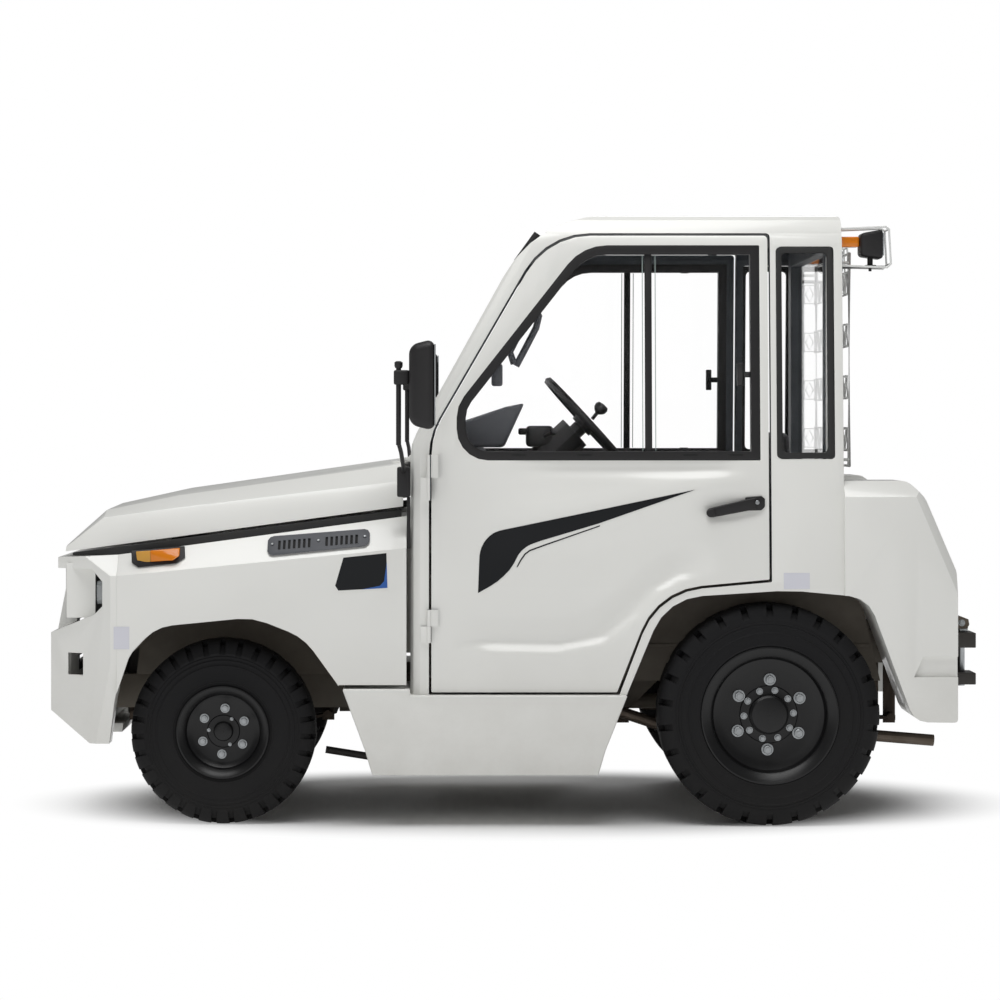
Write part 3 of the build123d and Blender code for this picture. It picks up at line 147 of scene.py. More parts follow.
finishes = {
    # two-coat body enamel over steel sheet: near white, slight orange peel, road film near the floor
    "enamelWhite": dict(colour="#e6e6e2", drift="#dfdfdb", driftMm=420, rough=(0.26, 0.36), coat=0.35, grainMm=5.0,
                        grain=0.04, grime="#a9a59b", grimeTop=0.62, grimeFoot=0.1, grimeShare=0.5),
    # brush-painted chassis steel, with dust on it
    "chassisPaint": dict(colour="#6a6257", drift="#4d473f", driftMm=90, rough=(0.5, 0.8), grainMm=2.5, grain=0.3,
                         grime="#6d675c", grimeTop=0.7, grimeFoot=0.1, grimeShare=0.9),
    # cast iron under black paint
    "castIron": dict(colour="#2a2826", drift="#393531", driftMm=60, rough=(0.5, 0.75), grainMm=1.8, grain=0.5),
    # semi-gloss black enamel on pressed wheels
    "wheelEnamel": dict(ior=1.4, colour="#0d0d0e", drift="#131314", driftMm=80, rough=(0.28, 0.42), grainMm=3.0,
                        grain=0.08),
    # carbon-black tyre rubber, dull, with a dusty bloom
    "tyreRubber": dict(ior=1.3, colour="#111112", drift="#18181a", driftMm=70, rough=(0.62, 0.8), grainMm=1.2,
                       grain=0.35, grime="#35332f", grimeTop=0.5, grimeFoot=0.0, grimeShare=0.3),
    # moulded ABS and polypropylene trim
    "blackPlastic": dict(ior=1.4, colour="#1d1c1d", drift="#242324", driftMm=50, rough=(0.42, 0.55), grainMm=0.9,
                         grain=0.25),
    "greyPlastic": dict(colour="#4b4d52", drift="#424449", driftMm=60, rough=(0.5, 0.62), grainMm=0.9, grain=0.3),
    # aluminium fins of the radiator under black paint
    "radiatorFins": dict(colour="#1c1c1c", drift="#2b2b2b", driftMm=8, rough=(0.5, 0.7), grainMm=2.0, grain=0.8),
    # leathercloth on the seat
    "seatVinyl": dict(colour="#232325", drift="#2b2b2e", driftMm=40, rough=(0.45, 0.6), grainMm=1.4, grain=0.6),
    # spring steel and pipe steel, with a brown oxide
    "springSteel": dict(colour="#37322d", drift="#4a3d32", driftMm=40, rough=(0.5, 0.7), grainMm=1.5, grain=0.4,
                        metallic=0.6),
    "pipeSteel": dict(colour="#6b6259", drift="#51463b", driftMm=45, rough=(0.4, 0.6), grainMm=1.5, grain=0.3,
                      metallic=0.7),
    # zinc-plated steel of nuts and pins
    "zincSteel": dict(colour="#a9acae", drift="#8f9294", driftMm=15, rough=(0.25, 0.4), grainMm=1.0, grain=0.15,
                      metallic=1.0),
    # printed films on stripes, badge and plates
    "decalFilm": dict(ior=1.3, colour="#101214", drift="#14161a", driftMm=200, rough=(0.3, 0.38), grainMm=3.0,
                      grain=0.03),
    "blueFilm": dict(colour="#1557a8", drift="#164f98", driftMm=120, rough=(0.3, 0.38), grainMm=3.0, grain=0.03),
    "paleFilm": dict(colour="#d5d5dd", drift="#cdced6", driftMm=90, rough=(0.35, 0.45), grainMm=3.0, grain=0.05),
    # ground edges of the sliding panes, shadow in slots, and silvered mirror glass
    "paneEdge": dict(colour="#9aa8a4", drift="#8b9995", driftMm=60, rough=(0.1, 0.2), grainMm=3.0, grain=0.02),
    "darkGap": dict(colour="#0c0c0c", drift="#121212", driftMm=60, rough=(0.7, 0.9), grainMm=2.0, grain=0.1),
    "mirrorSilver": dict(colour="#c8ccce", drift="#c0c4c6", driftMm=300, rough=(0.02, 0.06), grainMm=5.0,
                         grain=0.01, metallic=1.0),
    # sponge rubber of seals, and the cab's dark lining
    "sealRubber": dict(colour="#1c1c1c", drift="#242424", driftMm=40, rough=(0.6, 0.75), grainMm=1.2, grain=0.3),
    "cabLining": dict(colour="#454a4f", drift="#2c3035", driftMm=70, rough=(0.5, 0.7), grainMm=1.2, grain=0.3),
    # white powder coat on the wire guards
    "powderWhite": dict(colour="#dcdddb", drift="#d0d1cf", driftMm=60, rough=(0.4, 0.5), grainMm=1.5, grain=0.1),
}
clears = {
    # window panes, clear at a low index as their two faces are so close, and the moulded lenses of the lamps
    "windowGlass": dict(colour="#ffffff", transmission=1.0, ior=1.12, rough=(0.0, 0.01)),
    "amberLens": dict(colour="#f08a17", transmission=0.25, ior=1.49, rough=(0.08, 0.16)),
    "yellowLens": dict(colour="#f2b23c", transmission=0.35, ior=1.49, rough=(0.06, 0.14)),
    "redLens": dict(colour="#b3231d", transmission=0.25, ior=1.49, rough=(0.08, 0.16)),
    "clearLens": dict(colour="#dfe3e6", transmission=0.55, ior=1.49, rough=(0.05, 0.12)),
}
materials = {name: makeFinish(name, look) for name, look in finishes.items()}
materials.update({name: makeClear(name, look) for name, look in clears.items()})

slotFinish = {
    "white_paint": "enamelWhite", "black_paint": "blackPlastic", "chassis_paint": "chassisPaint",
    "axle_paint": "castIron", "rim_paint": "wheelEnamel", "tyre": "tyreRubber", "black_plastic": "blackPlastic",
    "grey_plastic": "greyPlastic", "black_metal": "radiatorFins", "lamp_lens": "clearLens",
    "amber_lens": "amberLens", "red_lens": "redLens", "clear_glass": "windowGlass", "seat_cover": "seatVinyl",
    "engine_iron": "castIron", "spring_steel": "springSteel", "exhaust_steel": "pipeSteel",
    "black_iron": "castIron", "white_wire": "powderWhite", "bare_steel": "zincSteel",
}
for part in frame["record"]["subparts"]:
    node = nodes[part["node"]]
    node.data.materials.clear()
    node.data.materials.append(materials[slotFinish[part["material_slot"]]])

# slot and finish of most small pieces
whitePaint, blackTrim = ("white_paint", "enamelWhite"), ("black_plastic", "blackPlastic")
zincPlated, whiteWire = ("bare_steel", "zincSteel"), ("white_wire", "powderWhite")
print("stage: materials made")


# modelling helpers

def clearSelection():
    if bpy.context.mode != "OBJECT":
        bpy.ops.object.mode_set(mode="OBJECT")
    bpy.ops.object.select_all(action="DESELECT")


def pickPiece(piece):
    clearSelection()
    piece.select_set(True)
    bpy.context.view_layer.objects.active = piece


def drawOutline(points):
    # a closed wire through the points, as the start of an extrusion or a lathe
    clearSelection()
    bpy.ops.mesh.primitive_circle_add(vertices=len(points), radius=1.0)
    wire = bpy.context.object
    for vertex, point in zip(wire.data.vertices, points):
        vertex.co = point
    wire.location = (0, 0, 0)
    return wire


def extrudeOutline(points, step):
    piece = drawOutline(points)
    bpy.ops.object.mode_set(mode="EDIT")
    bpy.ops.mesh.select_all(action="SELECT")
    bpy.ops.mesh.edge_face_add()
    bpy.ops.mesh.extrude_region_move(TRANSFORM_OT_translate={"value": step})
    bpy.ops.mesh.select_all(action="SELECT")
    bpy.ops.mesh.normals_make_consistent(inside=False)
    bpy.ops.object.mode_set(mode="OBJECT")
    return piece


def latheOutline(profile, centre, steps, axis=(0, 1, 0)):
    # profile points are (radius, distance along the axis); the axis is Y unless given
    along = Vector(axis).normalized()
    out = Vector((0, 0, 1)) if abs(along.z) < 0.9 else Vector((1, 0, 0))
    out = (out - along * out.dot(along)).normalized()
    middle = Vector(centre)
    piece = drawOutline([middle + out * r + along * d for r, d in profile])
    bpy.ops.object.mode_set(mode="EDIT")
    bpy.ops.mesh.select_all(action="SELECT")
    bpy.ops.mesh.spin(steps=steps, angle=2 * math.pi, center=middle, axis=along)
    bpy.ops.mesh.select_all(action="SELECT")
    bpy.ops.mesh.remove_doubles(threshold=0.00002)
    bpy.ops.mesh.normals_make_consistent(inside=False)
    bpy.ops.object.mode_set(mode="OBJECT")
    return piece


def meshPiece(name, corners, faces):
    mesh = bpy.data.meshes.new(name)
    mesh.from_pydata(corners, [], faces)
    piece = bpy.data.objects.new(name, mesh)
    bpy.context.scene.collection.objects.link(piece)
    pickPiece(piece)
    bpy.ops.object.mode_set(mode="EDIT")
    bpy.ops.mesh.select_all(action="SELECT")
    bpy.ops.mesh.normals_make_consistent(inside=False)
    bpy.ops.object.mode_set(mode="OBJECT")
    return piece


def applyModifier(piece, kind, **settings):
    pickPiece(piece)
    modifier = piece.modifiers.new(kind.lower(), kind)
    for key, value in settings.items():
        setattr(modifier, key, value)
    bpy.ops.object.modifier_apply(modifier=modifier.name)
    return piece


def softenEdges(piece, width, segments=2, angle=35):
    return applyModifier(piece, "BEVEL", width=width, segments=segments, limit_method="ANGLE",
                         angle_limit=math.radians(angle))


def cutAway(piece, cutter):
    applyModifier(piece, "BOOLEAN", operation="DIFFERENCE", solver="EXACT", object=cutter)
    bpy.data.objects.remove(cutter)
    return piece


def joinPieces(pieces):
    clearSelection()
    for piece in pieces:
        piece.select_set(True)
    bpy.context.view_layer.objects.active = pieces[0]
    if len(pieces) > 1:
        bpy.ops.object.join()
    return pieces[0]


def copyTurned(piece, matrix):
    twin = piece.copy()
    twin.data = piece.data.copy()
    bpy.context.scene.collection.objects.link(twin)
    twin.data.transform(matrix)
    return twin


def turnAbout(centre, angle, axis):
    middle = Matrix.Translation(Vector(centre))
    return middle @ Matrix.Rotation(angle, 4, axis) @ middle.inverted()


def ringOf(piece, count, centre, axis="Y", start=0.0):
    copies = [copyTurned(piece, turnAbout(centre, start + 2 * math.pi * i / count, axis)) for i in range(count)]
    bpy.data.objects.remove(piece)
    return joinPieces(copies)


def otherSide(piece):
    # the same piece on the vehicle's other side, with its faces turned back outwards
    twin = copyTurned(piece, Matrix.Scale(-1, 4, (0, 1, 0)))
    pickPiece(twin)
    bpy.ops.object.mode_set(mode="EDIT")
    bpy.ops.mesh.select_all(action="SELECT")
    bpy.ops.mesh.flip_normals()
    bpy.ops.object.mode_set(mode="OBJECT")
    return twin


def seat(piece, name, body, slot, finish, smooth=30, stands=()):
    # names a finished piece, gives it its material, and fixes it to the body that carries it
    pickPiece(piece)
    bpy.ops.object.transform_apply(location=True, rotation=True, scale=True)
    if smooth:
        bpy.ops.object.shade_smooth_by_angle(angle=math.radians(smooth))
    piece.name = name
    piece.data.materials.clear()
    piece.data.materials.append(materials[finish])
    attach(piece, body)
    if stands:
        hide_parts(*stands)
    return piece


# tyres: moulded in one, with lugs cut by grooves and raised rings on the sidewall
tyres = {
    "front": dict(centre=(-0.970, -0.540, 0.295), radius=0.295, half=0.0875, bead=0.1275, lugs=31, steps=155,
                  groove=0.0175, drop=0.058, reach=0.058, depth=0.016, wall=0.243,
                  rings=(0.160, 0.212, 0.228, 0.240)),
    "rear": dict(centre=(0.770, -0.566, 0.3525), radius=0.3525, half=0.1075, bead=0.1905, lugs=26, steps=156,
                 groove=0.0205, drop=0.048, reach=0.070, depth=0.018, wall=0.3005,
                 rings=(0.222, 0.262, 0.285, 0.294)),
}


def makeTyre(size):
    r, h, b = size["radius"], size["half"], size["bead"]
    wall = size["wall"]
    side = [(b, -h + 0.024), (b + 0.006, -h + 0.016), (b + 0.016, -h + 0.009)]
    for ring in size["rings"]:
        base = -h + (0.004 if ring < wall else 0.001) + max(0.0, (b + 0.05 - ring)) * 0.06
        side += [(ring - 0.0035, base), (ring - 0.0015, base - 0.0022), (ring + 0.0015, base - 0.0022),
                 (ring + 0.0035, base)]
    side += [(wall + 0.008, -h + 0.001), (r - 0.030, -h + 0.004), (r - 0.017, -h + 0.0095), (r - 0.007, -h + 0.0175),
             (r - 0.0015, -h + 0.028), (r, -h + 0.045), (r, -0.012)]
    half = [(radius, max(distance, -h)) for radius, distance in side]
    profile = half + [(radius, -distance) for radius, distance in reversed(half)]
    centre = Vector(size["centre"])
    body = latheOutline(profile, centre, size["steps"])
    x, y, z = centre
    cutters = []
    for sign in (-1, 1):
        g = size["groove"] / 2
        edge = y + sign * (h + 0.004)
        inner = y + sign * (h - size["reach"])
        deep = [(x, edge, z + r - size["drop"]), (x, edge, z + r + 0.02), (x, inner, z + r + 0.02),
                (x, inner, z + r - size["depth"]), (x, y + sign * (h - 0.022), z + r - size["depth"] - 0.003)]
        wedge = extrudeOutline([(px - g, py, pz) for px, py, pz in deep], (size["groove"], 0, 0))
        cutters.append(ringOf(wedge, size["lugs"], centre, start=0.0 if sign < 0 else math.pi / size["lugs"]))
    cutAway(body, joinPieces(cutters))
    return softenEdges(body, 0.0012, 1, 40)


tyreModels = {end: makeTyre(size) for end, size in tyres.items()}
for end, model in tyreModels.items():
    twin = otherSide(model)
    for piece, hand in ((model, "left"), (twin, "right")):
        seat(piece, end + "Tyre" + hand.title(), end + "_wheel_" + hand, "tyre", "tyreRubber",
             stands=[end + "_tyre_" + hand])
print("stage: tyres made")


# rims: pressed steel discs with a rolled flange, hub, nuts and screws
rims = {
    "front": dict(centre=(-0.970, -0.540, 0.295), half=0.0875, bead=0.127, flange=0.147, dish=0.120, face=-0.0415,
                  hub=0.032, hubHeight=0.022, ring=0.050, pcd=0.0735, nuts=6, nut=0.0115, screws=3, screwRing=0.047,
                  screw=0.0045, firstNut=4.0, firstScrew=34.0),
    "rear": dict(centre=(0.770, -0.566, 0.3525), half=0.1075, bead=0.1905, flange=0.218, dish=0.182, face=-0.0575,
                 hub=0.064, hubHeight=0.034, ring=0.090, pcd=0.1115, nuts=6, nut=0.0150, screws=10, screwRing=0.079,
                 screw=0.0085, firstNut=2.0, firstScrew=14.6),
}


def hexBolt(centre, size, height):
    # a six-sided nut on a washer, with its stud end, facing the vehicle's left
    x, y, z = centre
    wide, thick = size * 1.28, height * 0.18
    washer = latheOutline([(0.0001, 0), (wide, 0), (wide, -thick), (0.0001, -thick)], centre, 20)
    corners = [(x + size * math.sin(a), y - thick, z + size * math.cos(a))
               for a in [math.pi * k / 3 for k in range(6)]]
    nut = softenEdges(extrudeOutline(corners, (0, -height * 0.62, 0)), size * 0.1, 1)
    foot, thin = -height * 0.7, size * 0.5
    stud = latheOutline([(0.0001, foot), (thin, foot), (thin, -height), (0.0001, -height)], centre, 14)
    return joinPieces([washer, nut, stud])


def makeRim(size):
    h, b, f, d, face = size["half"], size["bead"] - 0.0004, size["flange"], size["dish"], size["face"]
    profile = [
        (0.001, face - 0.002), (size["ring"], face - 0.002), (size["ring"] + 0.003, face + 0.001),
        (d * 0.80, face + 0.001), (d * 0.90, face - 0.004), (d * 0.97, face - 0.010), (d, face - 0.018),
        (d + 0.002, -h + 0.024), (b - 0.006, -h + 0.018), (b - 0.001, -h + 0.012), (f - 0.010, -h + 0.001),
        (f - 0.004, -h - 0.0022), (f, -h - 0.0015), (f + 0.001, -h + 0.003), (f - 0.003, -h + 0.005),
        (f - 0.011, -h + 0.008), (b, -h + 0.019), (b, h - 0.019), (f - 0.004, h - 0.004), (f, h - 0.001),
        (f - 0.004, h + 0.001), (b - 0.006, h - 0.016), (b - 0.008, -h + 0.034), (d * 0.92, face + 0.006),
        (size["ring"], face + 0.010), (0.001, face + 0.010)]
    return latheOutline(profile, size["centre"], 96)


def makeHub(size):
    face, hub, ring, top = size["face"], size["hub"], size["ring"], size["face"] - size["hubHeight"]
    profile = [(0.001, top), (hub * 0.62, top), (hub * 0.86, top + 0.003), (hub * 0.96, top + 0.009),
               (hub, face - 0.004), (hub + 0.004, face - 0.003), (ring, face - 0.003), (ring, face - 0.0015),
               (0.001, face - 0.0015)]
    return latheOutline(profile, size["centre"], 48)


def makeNuts(size):
    x, y, z = size["centre"]
    nut = hexBolt((x, y + size["face"], z + size["pcd"]), size["nut"], size["nut"] * 1.7)
    return ringOf(nut, size["nuts"], size["centre"], start=math.radians(size["firstNut"]))


def makeScrews(size):
    x, y, z = size["centre"]
    screw = hexBolt((x, y + size["face"] - 0.003, z + size["screwRing"]), size["screw"], size["screw"] * 1.4)
    return ringOf(screw, size["screws"], size["centre"], start=math.radians(size["firstScrew"]))


wheelParts = {"Rim": (makeRim, "rim_paint", "wheelEnamel"), "Hub": (makeHub, "rim_paint", "wheelEnamel"),
              "Nuts": (makeNuts, *zincPlated), "Screws": (makeScrews, *zincPlated)}
for end, size in rims.items():
    for label, (make, slot, finish) in wheelParts.items():
        left = make(size)
        right = otherSide(left)
        for piece, hand in ((left, "left"), (right, "right")):
            stands = [end + "_rim_" + hand] if label == "Rim" else ()
            seat(piece, end + label + hand.title(), end + "_wheel_" + hand, slot, finish, stands=stands)
print("stage: rims made")


# body panels: each sheet keeps its CAD form, and gets rounded folds and edges
panels = {
    "noseCasting": ("nose_casting", 0.005), "frontFenders": ("front_fenders", 0.006), "hoodPanel": ("hood", 0.010),
    "cabFront": ("cab_front", 0.005), "cabSides": ("cab_sides", 0.004), "roofPanel": ("roof", 0.006),
    "rearFenders": ("rear_fenders", 0.012), "rearDeck": ("rear_deck", 0.006), "sillBoxes": ("sill_boxes", 0.006),
    "cabBack": ("cab_back", 0.003), "grilleFrame": ("grille", 0.002),
}


def copyNode(name):
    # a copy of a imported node's mesh, its coplanar triangles merged, so that its folds can be worked on
    copy = bpy.data.objects.new(name + "Copy", nodes[name].data.copy())
    bpy.context.scene.collection.objects.link(copy)
    pickPiece(copy)
    bpy.ops.object.mode_set(mode="EDIT")
    bpy.ops.mesh.select_all(action="SELECT")
    bpy.ops.mesh.remove_doubles(threshold=0.00002)
    bpy.ops.mesh.dissolve_limited(angle_limit=math.radians(0.7))
    bpy.ops.object.mode_set(mode="OBJECT")
    return copy


bodyOf = {node: body for body, members in frame["record"]["behaviour"]["bodies"].items() for node in members}
slotOf = {part["node"]: part["material_slot"] for part in frame["record"]["subparts"]}
for name, (node, width) in panels.items():
    panel = softenEdges(copyNode(node), width, 3, 18)
    seat(panel, name, bodyOf[node], slotOf[node], slotFinish[slotOf[node]], 40, [node])
print("stage: body panels made")


# doors: the skin's pressed relief. Its valley curves over the sill and up round the wheel arch, with a flare below it,
# a ridge climbs above the swoosh, a groove runs below the window, and the handle lies in a round recess
door = {
    "valley": ((-0.40, 0.590), (-0.166, 0.593), (0.104, 0.589), (0.235, 0.618), (0.330, 0.695), (0.395, 0.765),
               (0.470, 0.812), (0.640, 0.840)),
    "valleyDepth": 0.019, "valleyWide": 0.085, "valleyX": (-0.25, -0.10, 0.45, 0.62), "valleyFoot": (0.425, 0.46),
    "flare": 0.006, "flareWide": 0.045, "flareFade": (0.07, 0.16), "flareLoss": 0.8,
    "ridgeZ": 0.962, "ridgeRise": 0.172, "ridgeStart": -0.15, "ridgeHeight": 0.013, "ridgeWide": (0.045, 0.11),
    "ridgeX": (-0.22, 0.02, 0.58, 0.74), "grooveZ": 1.136, "grooveDepth": 0.013, "grooveWide": 0.022,
    "grooveX": (-0.12, 0.15, 0.60, 0.74), "recess": (0.655, 1.006, 0.122, 0.052), "recessDepth": 0.008,
    "gridStep": 0.012, "gridX": (-0.27, 87), "gridZ": (0.440, 60), "frontX": -0.272, "topZ": 1.163, "skin": 0.0015,
}
# the cab's side stands upright to its knee, leans in to the window belt, and more above it
cabLean = {"half": 0.686, "kneeZ": 0.760, "beltHalf": 0.662, "beltZ": 1.162, "low": (0.024, 0.402),
           "high": (0.048, 0.700)}


def ease(value, low, high):
    t = min(1.0, max(0.0, (value - low) / (high - low)))
    return t * t * (3 - 2 * t)


def fadeBetween(value, start, full, fall, end):
    return ease(value, start, full) * (1 - ease(value, fall, end))


def sideBase(z):
    # half width of the cab's side at a height
    if z <= cabLean["kneeZ"]:
        return cabLean["half"]
    if z <= cabLean["beltZ"]:
        fall, run = cabLean["low"]
        return cabLean["half"] - fall * (z - cabLean["kneeZ"]) / run
    fall, run = cabLean["high"]
    return cabLean["beltHalf"] - fall * (z - cabLean["beltZ"]) / run


def valleyDistance(x, z):
    # how far a point lies above the valley's line, or below it when negative
    nearest, height = 9.0, 0.0
    for (x0, z0), (x1, z1) in zip(door["valley"], door["valley"][1:]):
        share = ((x - x0) * (x1 - x0) + (z - z0) * (z1 - z0)) / ((x1 - x0) ** 2 + (z1 - z0) ** 2)
        share = min(1.0, max(0.0, share))
        nearest = min(nearest, math.hypot(x - x0 - share * (x1 - x0), z - z0 - share * (z1 - z0)))
        if x0 <= x <= x1:
            height = z0 + (z1 - z0) * (x - x0) / (x1 - x0)
    return nearest if z > height else -nearest


def doorRelief(x, z):
    distance = valleyDistance(x, z)
    if distance > 0:
        valley = -door["valleyDepth"] * (1 - ease(distance, 0.0, door["valleyWide"]))
    else:
        valley = -door["valleyDepth"] + (door["valleyDepth"] + door["flare"]) * ease(-distance, 0.0, door["flareWide"])
        valley *= 1 - ease(-distance, *door["flareFade"]) * door["flareLoss"]
    valley *= fadeBetween(x, *door["valleyX"]) * ease(z, *door["valleyFoot"])
    ridgeAbove = z - door["ridgeZ"] - door["ridgeRise"] * (x - door["ridgeStart"])
    above, below = door["ridgeWide"]
    ridge = door["ridgeHeight"] * math.exp(-(ridgeAbove / (above if ridgeAbove > 0 else below)) ** 2)
    ridge *= fadeBetween(x, *door["ridgeX"])
    groove = -door["grooveDepth"] * math.exp(-((z - door["grooveZ"]) / door["grooveWide"]) ** 2)
    groove *= fadeBetween(x, *door["grooveX"])
    cx, cz, rx, rz = door["recess"]
    ring = math.hypot((x - cx) / rx, (z - cz) / rz)
    recess = -door["recessDepth"] * (1 - ease(ring, 0.45, 1.0))
    return valley + (ridge + groove) * ease(ring, 0.4, 1.3) + recess


def makeDoor(node):
    # the outer sheet gets a fine grid of corners, and each of them goes to the relief's height
    skin = copyNode(node)
    side = -1 if "left" in node else 1
    clearSelection()
    mesh = bmesh.new()
    mesh.from_mesh(skin.data)
    cuts = []
    for axis, (start, count) in ((0, door["gridX"]), (2, door["gridZ"])):
        normal = tuple(int(k == axis) for k in range(3))
        cuts += [(tuple((start + door["gridStep"] * i) * n for n in normal), normal) for i in range(count)]
    for place, normal in cuts:
        outer = [face for face in mesh.faces if face.normal.y * side > 0.3 and face.calc_center_median().y * side > 0.6]
        around = {edge for face in outer for edge in face.edges} | {corner for face in outer for corner in face.verts}
        bmesh.ops.bisect_plane(mesh, geom=outer + list(around), plane_co=place, plane_no=normal, dist=0.00005)
    for corner in mesh.verts:
        x, y, z = corner.co
        if x > door["frontX"] and z < door["topZ"] and y * side > sideBase(z) - door["skin"]:
            corner.co.y = side * (sideBase(z) + doorRelief(x, z))
    mesh.to_mesh(skin.data)
    mesh.free()
    return softenEdges(skin, 0.0025, 2, 40)


for hand in ("left", "right"):
    seat(makeDoor("door_" + hand), "door" + hand.title() + "Skin", "door_" + hand, *whitePaint, 50, ["door_" + hand])
print("stage: doors made")


# pieces that lie on the cab's side, the fender's side and its bevel

photoView = {"centre": (456, 423), "focal": 3099, "sideY": 0.69}


def fromPhoto(px, py, depth=photoView["sideY"]):
    # x and z behind a point of the photograph, in an upright plane at a distance left of the vehicle's middle
    x, y, z = cameraView["place"]
    scale = (-y - depth) / photoView["focal"]
    return (px - photoView["centre"][0]) * scale + x, z - (py - photoView["centre"][1]) * scale


def traced(points, depth=photoView["sideY"]):
    return [fromPhoto(px, py, depth) for px, py in points]


def roundCorners(points, radii, steps=8):
    result = []
    for i, (point, radius) in enumerate(zip(points, radii)):
        corner, before, after = Vector(point), Vector(points[i - 1]), Vector(points[(i + 1) % len(points)])
        if radius == 0:
            result.append(tuple(corner))
            continue
        a, b = (before - corner).normalized(), (after - corner).normalized()
        turn = math.pi - a.angle(b)
        reach = radius * math.tan(turn / 2)
        for k in range(steps + 1):
            t = k / steps
            result.append(tuple(corner + a * reach * (1 - t) ** 2 + b * reach * t ** 2))
    return result


def layOnSide(outline, low, high):
    # a plate with an (x, z) outline, from one height above the left side's surface to another
    plate = extrudeOutline([(x, 0, z) for x, z in outline], (0, -1, 0))
    for corner in plate.data.vertices:
        lift = low if corner.co.y > -0.5 else high
        corner.co.y = -(sideBase(corner.co.z) + lift)
    return plate


def rectOnSide(spanX, spanZ, lift):
    (x0, x1), (z0, z1) = spanX, spanZ
    return layOnSide([(x0, z0), (x1, z0), (x1, z1), (x0, z1)], *lift)


def ringOnSide(outer, inner, low, high):
    return cutAway(layOnSide(outer, low, high), layOnSide(inner, low - 0.03, high + 0.03))


def mirroredPair(piece, name, body, slot, finish, smooth=30, stands=(), soften=0.0):
    # seats a left piece and its mirror image; a body or node name with "left" in it becomes "right"
    if soften:
        softenEdges(piece, soften, 2)
    twin = otherSide(piece)
    seat(piece, name + "Left", body, slot, finish, smooth, stands)
    seat(twin, name + "Right", body.replace("left", "right"), slot, finish, smooth,
         [node.replace("left", "right") for node in stands if "left" in node])


lining = {"middle": (0.35, 0.0, 1.30), "lowZ": 0.45, "frontX": -0.36, "rearX": 0.985, "facing": 0.22}


def lineInside(piece):
    # the cab's inner faces, which look towards its middle, carry the dark lining instead of the paint
    piece.data.materials.append(materials["cabLining"])
    for face in piece.data.polygons:
        inward = (Vector(lining["middle"]) - face.center).normalized()
        inCab = face.center.z > lining["lowZ"] and lining["frontX"] < face.center.x < lining["rearX"]
        if inCab and face.normal.dot(inward) > lining["facing"]:
            face.material_index = 1


for name in ("cabSides", "cabFront", "roofPanel", "cabBack", "doorLeftSkin", "doorRightSkin"):
    lineInside(bpy.data.objects[name])


# rays that look for a panel start here, well outside the vehicle's left side
rayStart = -2.0


def drape(piece, target, low, high):
    # each corner goes to the surface behind it, raised by the lift of its own side of the plate
    bpy.context.view_layer.update()
    for corner in piece.data.vertices:
        lift = low if corner.co.y > -0.5 else high(corner.co.x) if callable(high) else high
        rays = [panel.ray_cast((corner.co.x, rayStart, corner.co.z), (0, 1, 0)) for panel in target]
        corner.co.y = min([ray[1].y for ray in rays if ray[0]] or [-sideBase(corner.co.z)]) - lift
    return piece


def cutGrid(piece, step):
    # more corners, so that a draped plate can follow a curved surface
    mesh = bmesh.new()
    mesh.from_mesh(piece.data)
    bmesh.ops.triangulate(mesh, faces=mesh.faces[:])
    for axis in (0, 2):
        low = min(corner.co[axis] for corner in mesh.verts)
        high = max(corner.co[axis] for corner in mesh.verts)
        for k in range(1, int((high - low) / step) + 1):
            place = [0.0, 0.0, 0.0]
            place[axis] = low + k * step
            normal = [0.0, 0.0, 0.0]
            normal[axis] = 1.0
            bmesh.ops.bisect_plane(mesh, geom=mesh.verts[:] + mesh.edges[:] + mesh.faces[:], plane_co=place,
                                   plane_no=normal, dist=0.00002)
    mesh.to_mesh(piece.data)
    mesh.free()
    return piece


def plateOn(points, target, low, high, grid=0.0):
    plate = extrudeOutline([(x, 0, z) for x, z in points], (0, -1, 0))
    if grid:
        cutGrid(plate, grid)
    return drape(plate, target, low, high)


def bothSides(piece):
    return joinPieces([piece, otherSide(piece)])


def tube(path, radius, sides=12, closed=False):
    # a round wire along points, mitred at its corners
    points = [Vector(p) for p in path]
    rings = []
    for i, point in enumerate(points):
        before = points[i - 1] if (closed or i) else point
        after = points[(i + 1) % len(points)] if (closed or i < len(points) - 1) else point
        along = ((after - point).normalized() + (point - before).normalized()).normalized()
        out = Vector((0, 0, 1)) if abs(along.z) < 0.8 else Vector((1, 0, 0))
        if i and abs(along.dot(rings[-1][1])) < 0.999:
            out = rings[-1][1]
        out = (out - along * out.dot(along)).normalized()
        rings.append((point, out, along.cross(out)))
    corners, faces = [], []
    for point, out, over in rings:
        corners += [tuple(point + (out * math.cos(a) + over * math.sin(a)) * radius)
                    for a in [2 * math.pi * k / sides for k in range(sides)]]
    count = len(rings)
    for i in range(count if closed else count - 1):
        j = (i + 1) % count
        faces += [(i * sides + k, i * sides + (k + 1) % sides, j * sides + (k + 1) % sides, j * sides + k)
                  for k in range(sides)]
    if not closed:
        faces += [tuple(range(sides))[::-1], tuple(range((count - 1) * sides, count * sides))]
    return meshPiece("tube", corners, faces)


def box(low, high, soften=0.0, segments=3):
    middle = [(a + b) / 2 for a, b in zip(low, high)]
    clearSelection()
    bpy.ops.mesh.primitive_cube_add(size=1.0, location=middle)
    piece = bpy.context.object
    piece.scale = [b - a for a, b in zip(low, high)]
    bpy.ops.object.transform_apply(location=True, rotation=True, scale=True)
    if soften:
        softenEdges(piece, soften, segments)
    return piece


def makeParts(parts):
    # each part is named, and holds the function that makes it with that function's values
    return [make(*values) for make, *values in parts.values()]


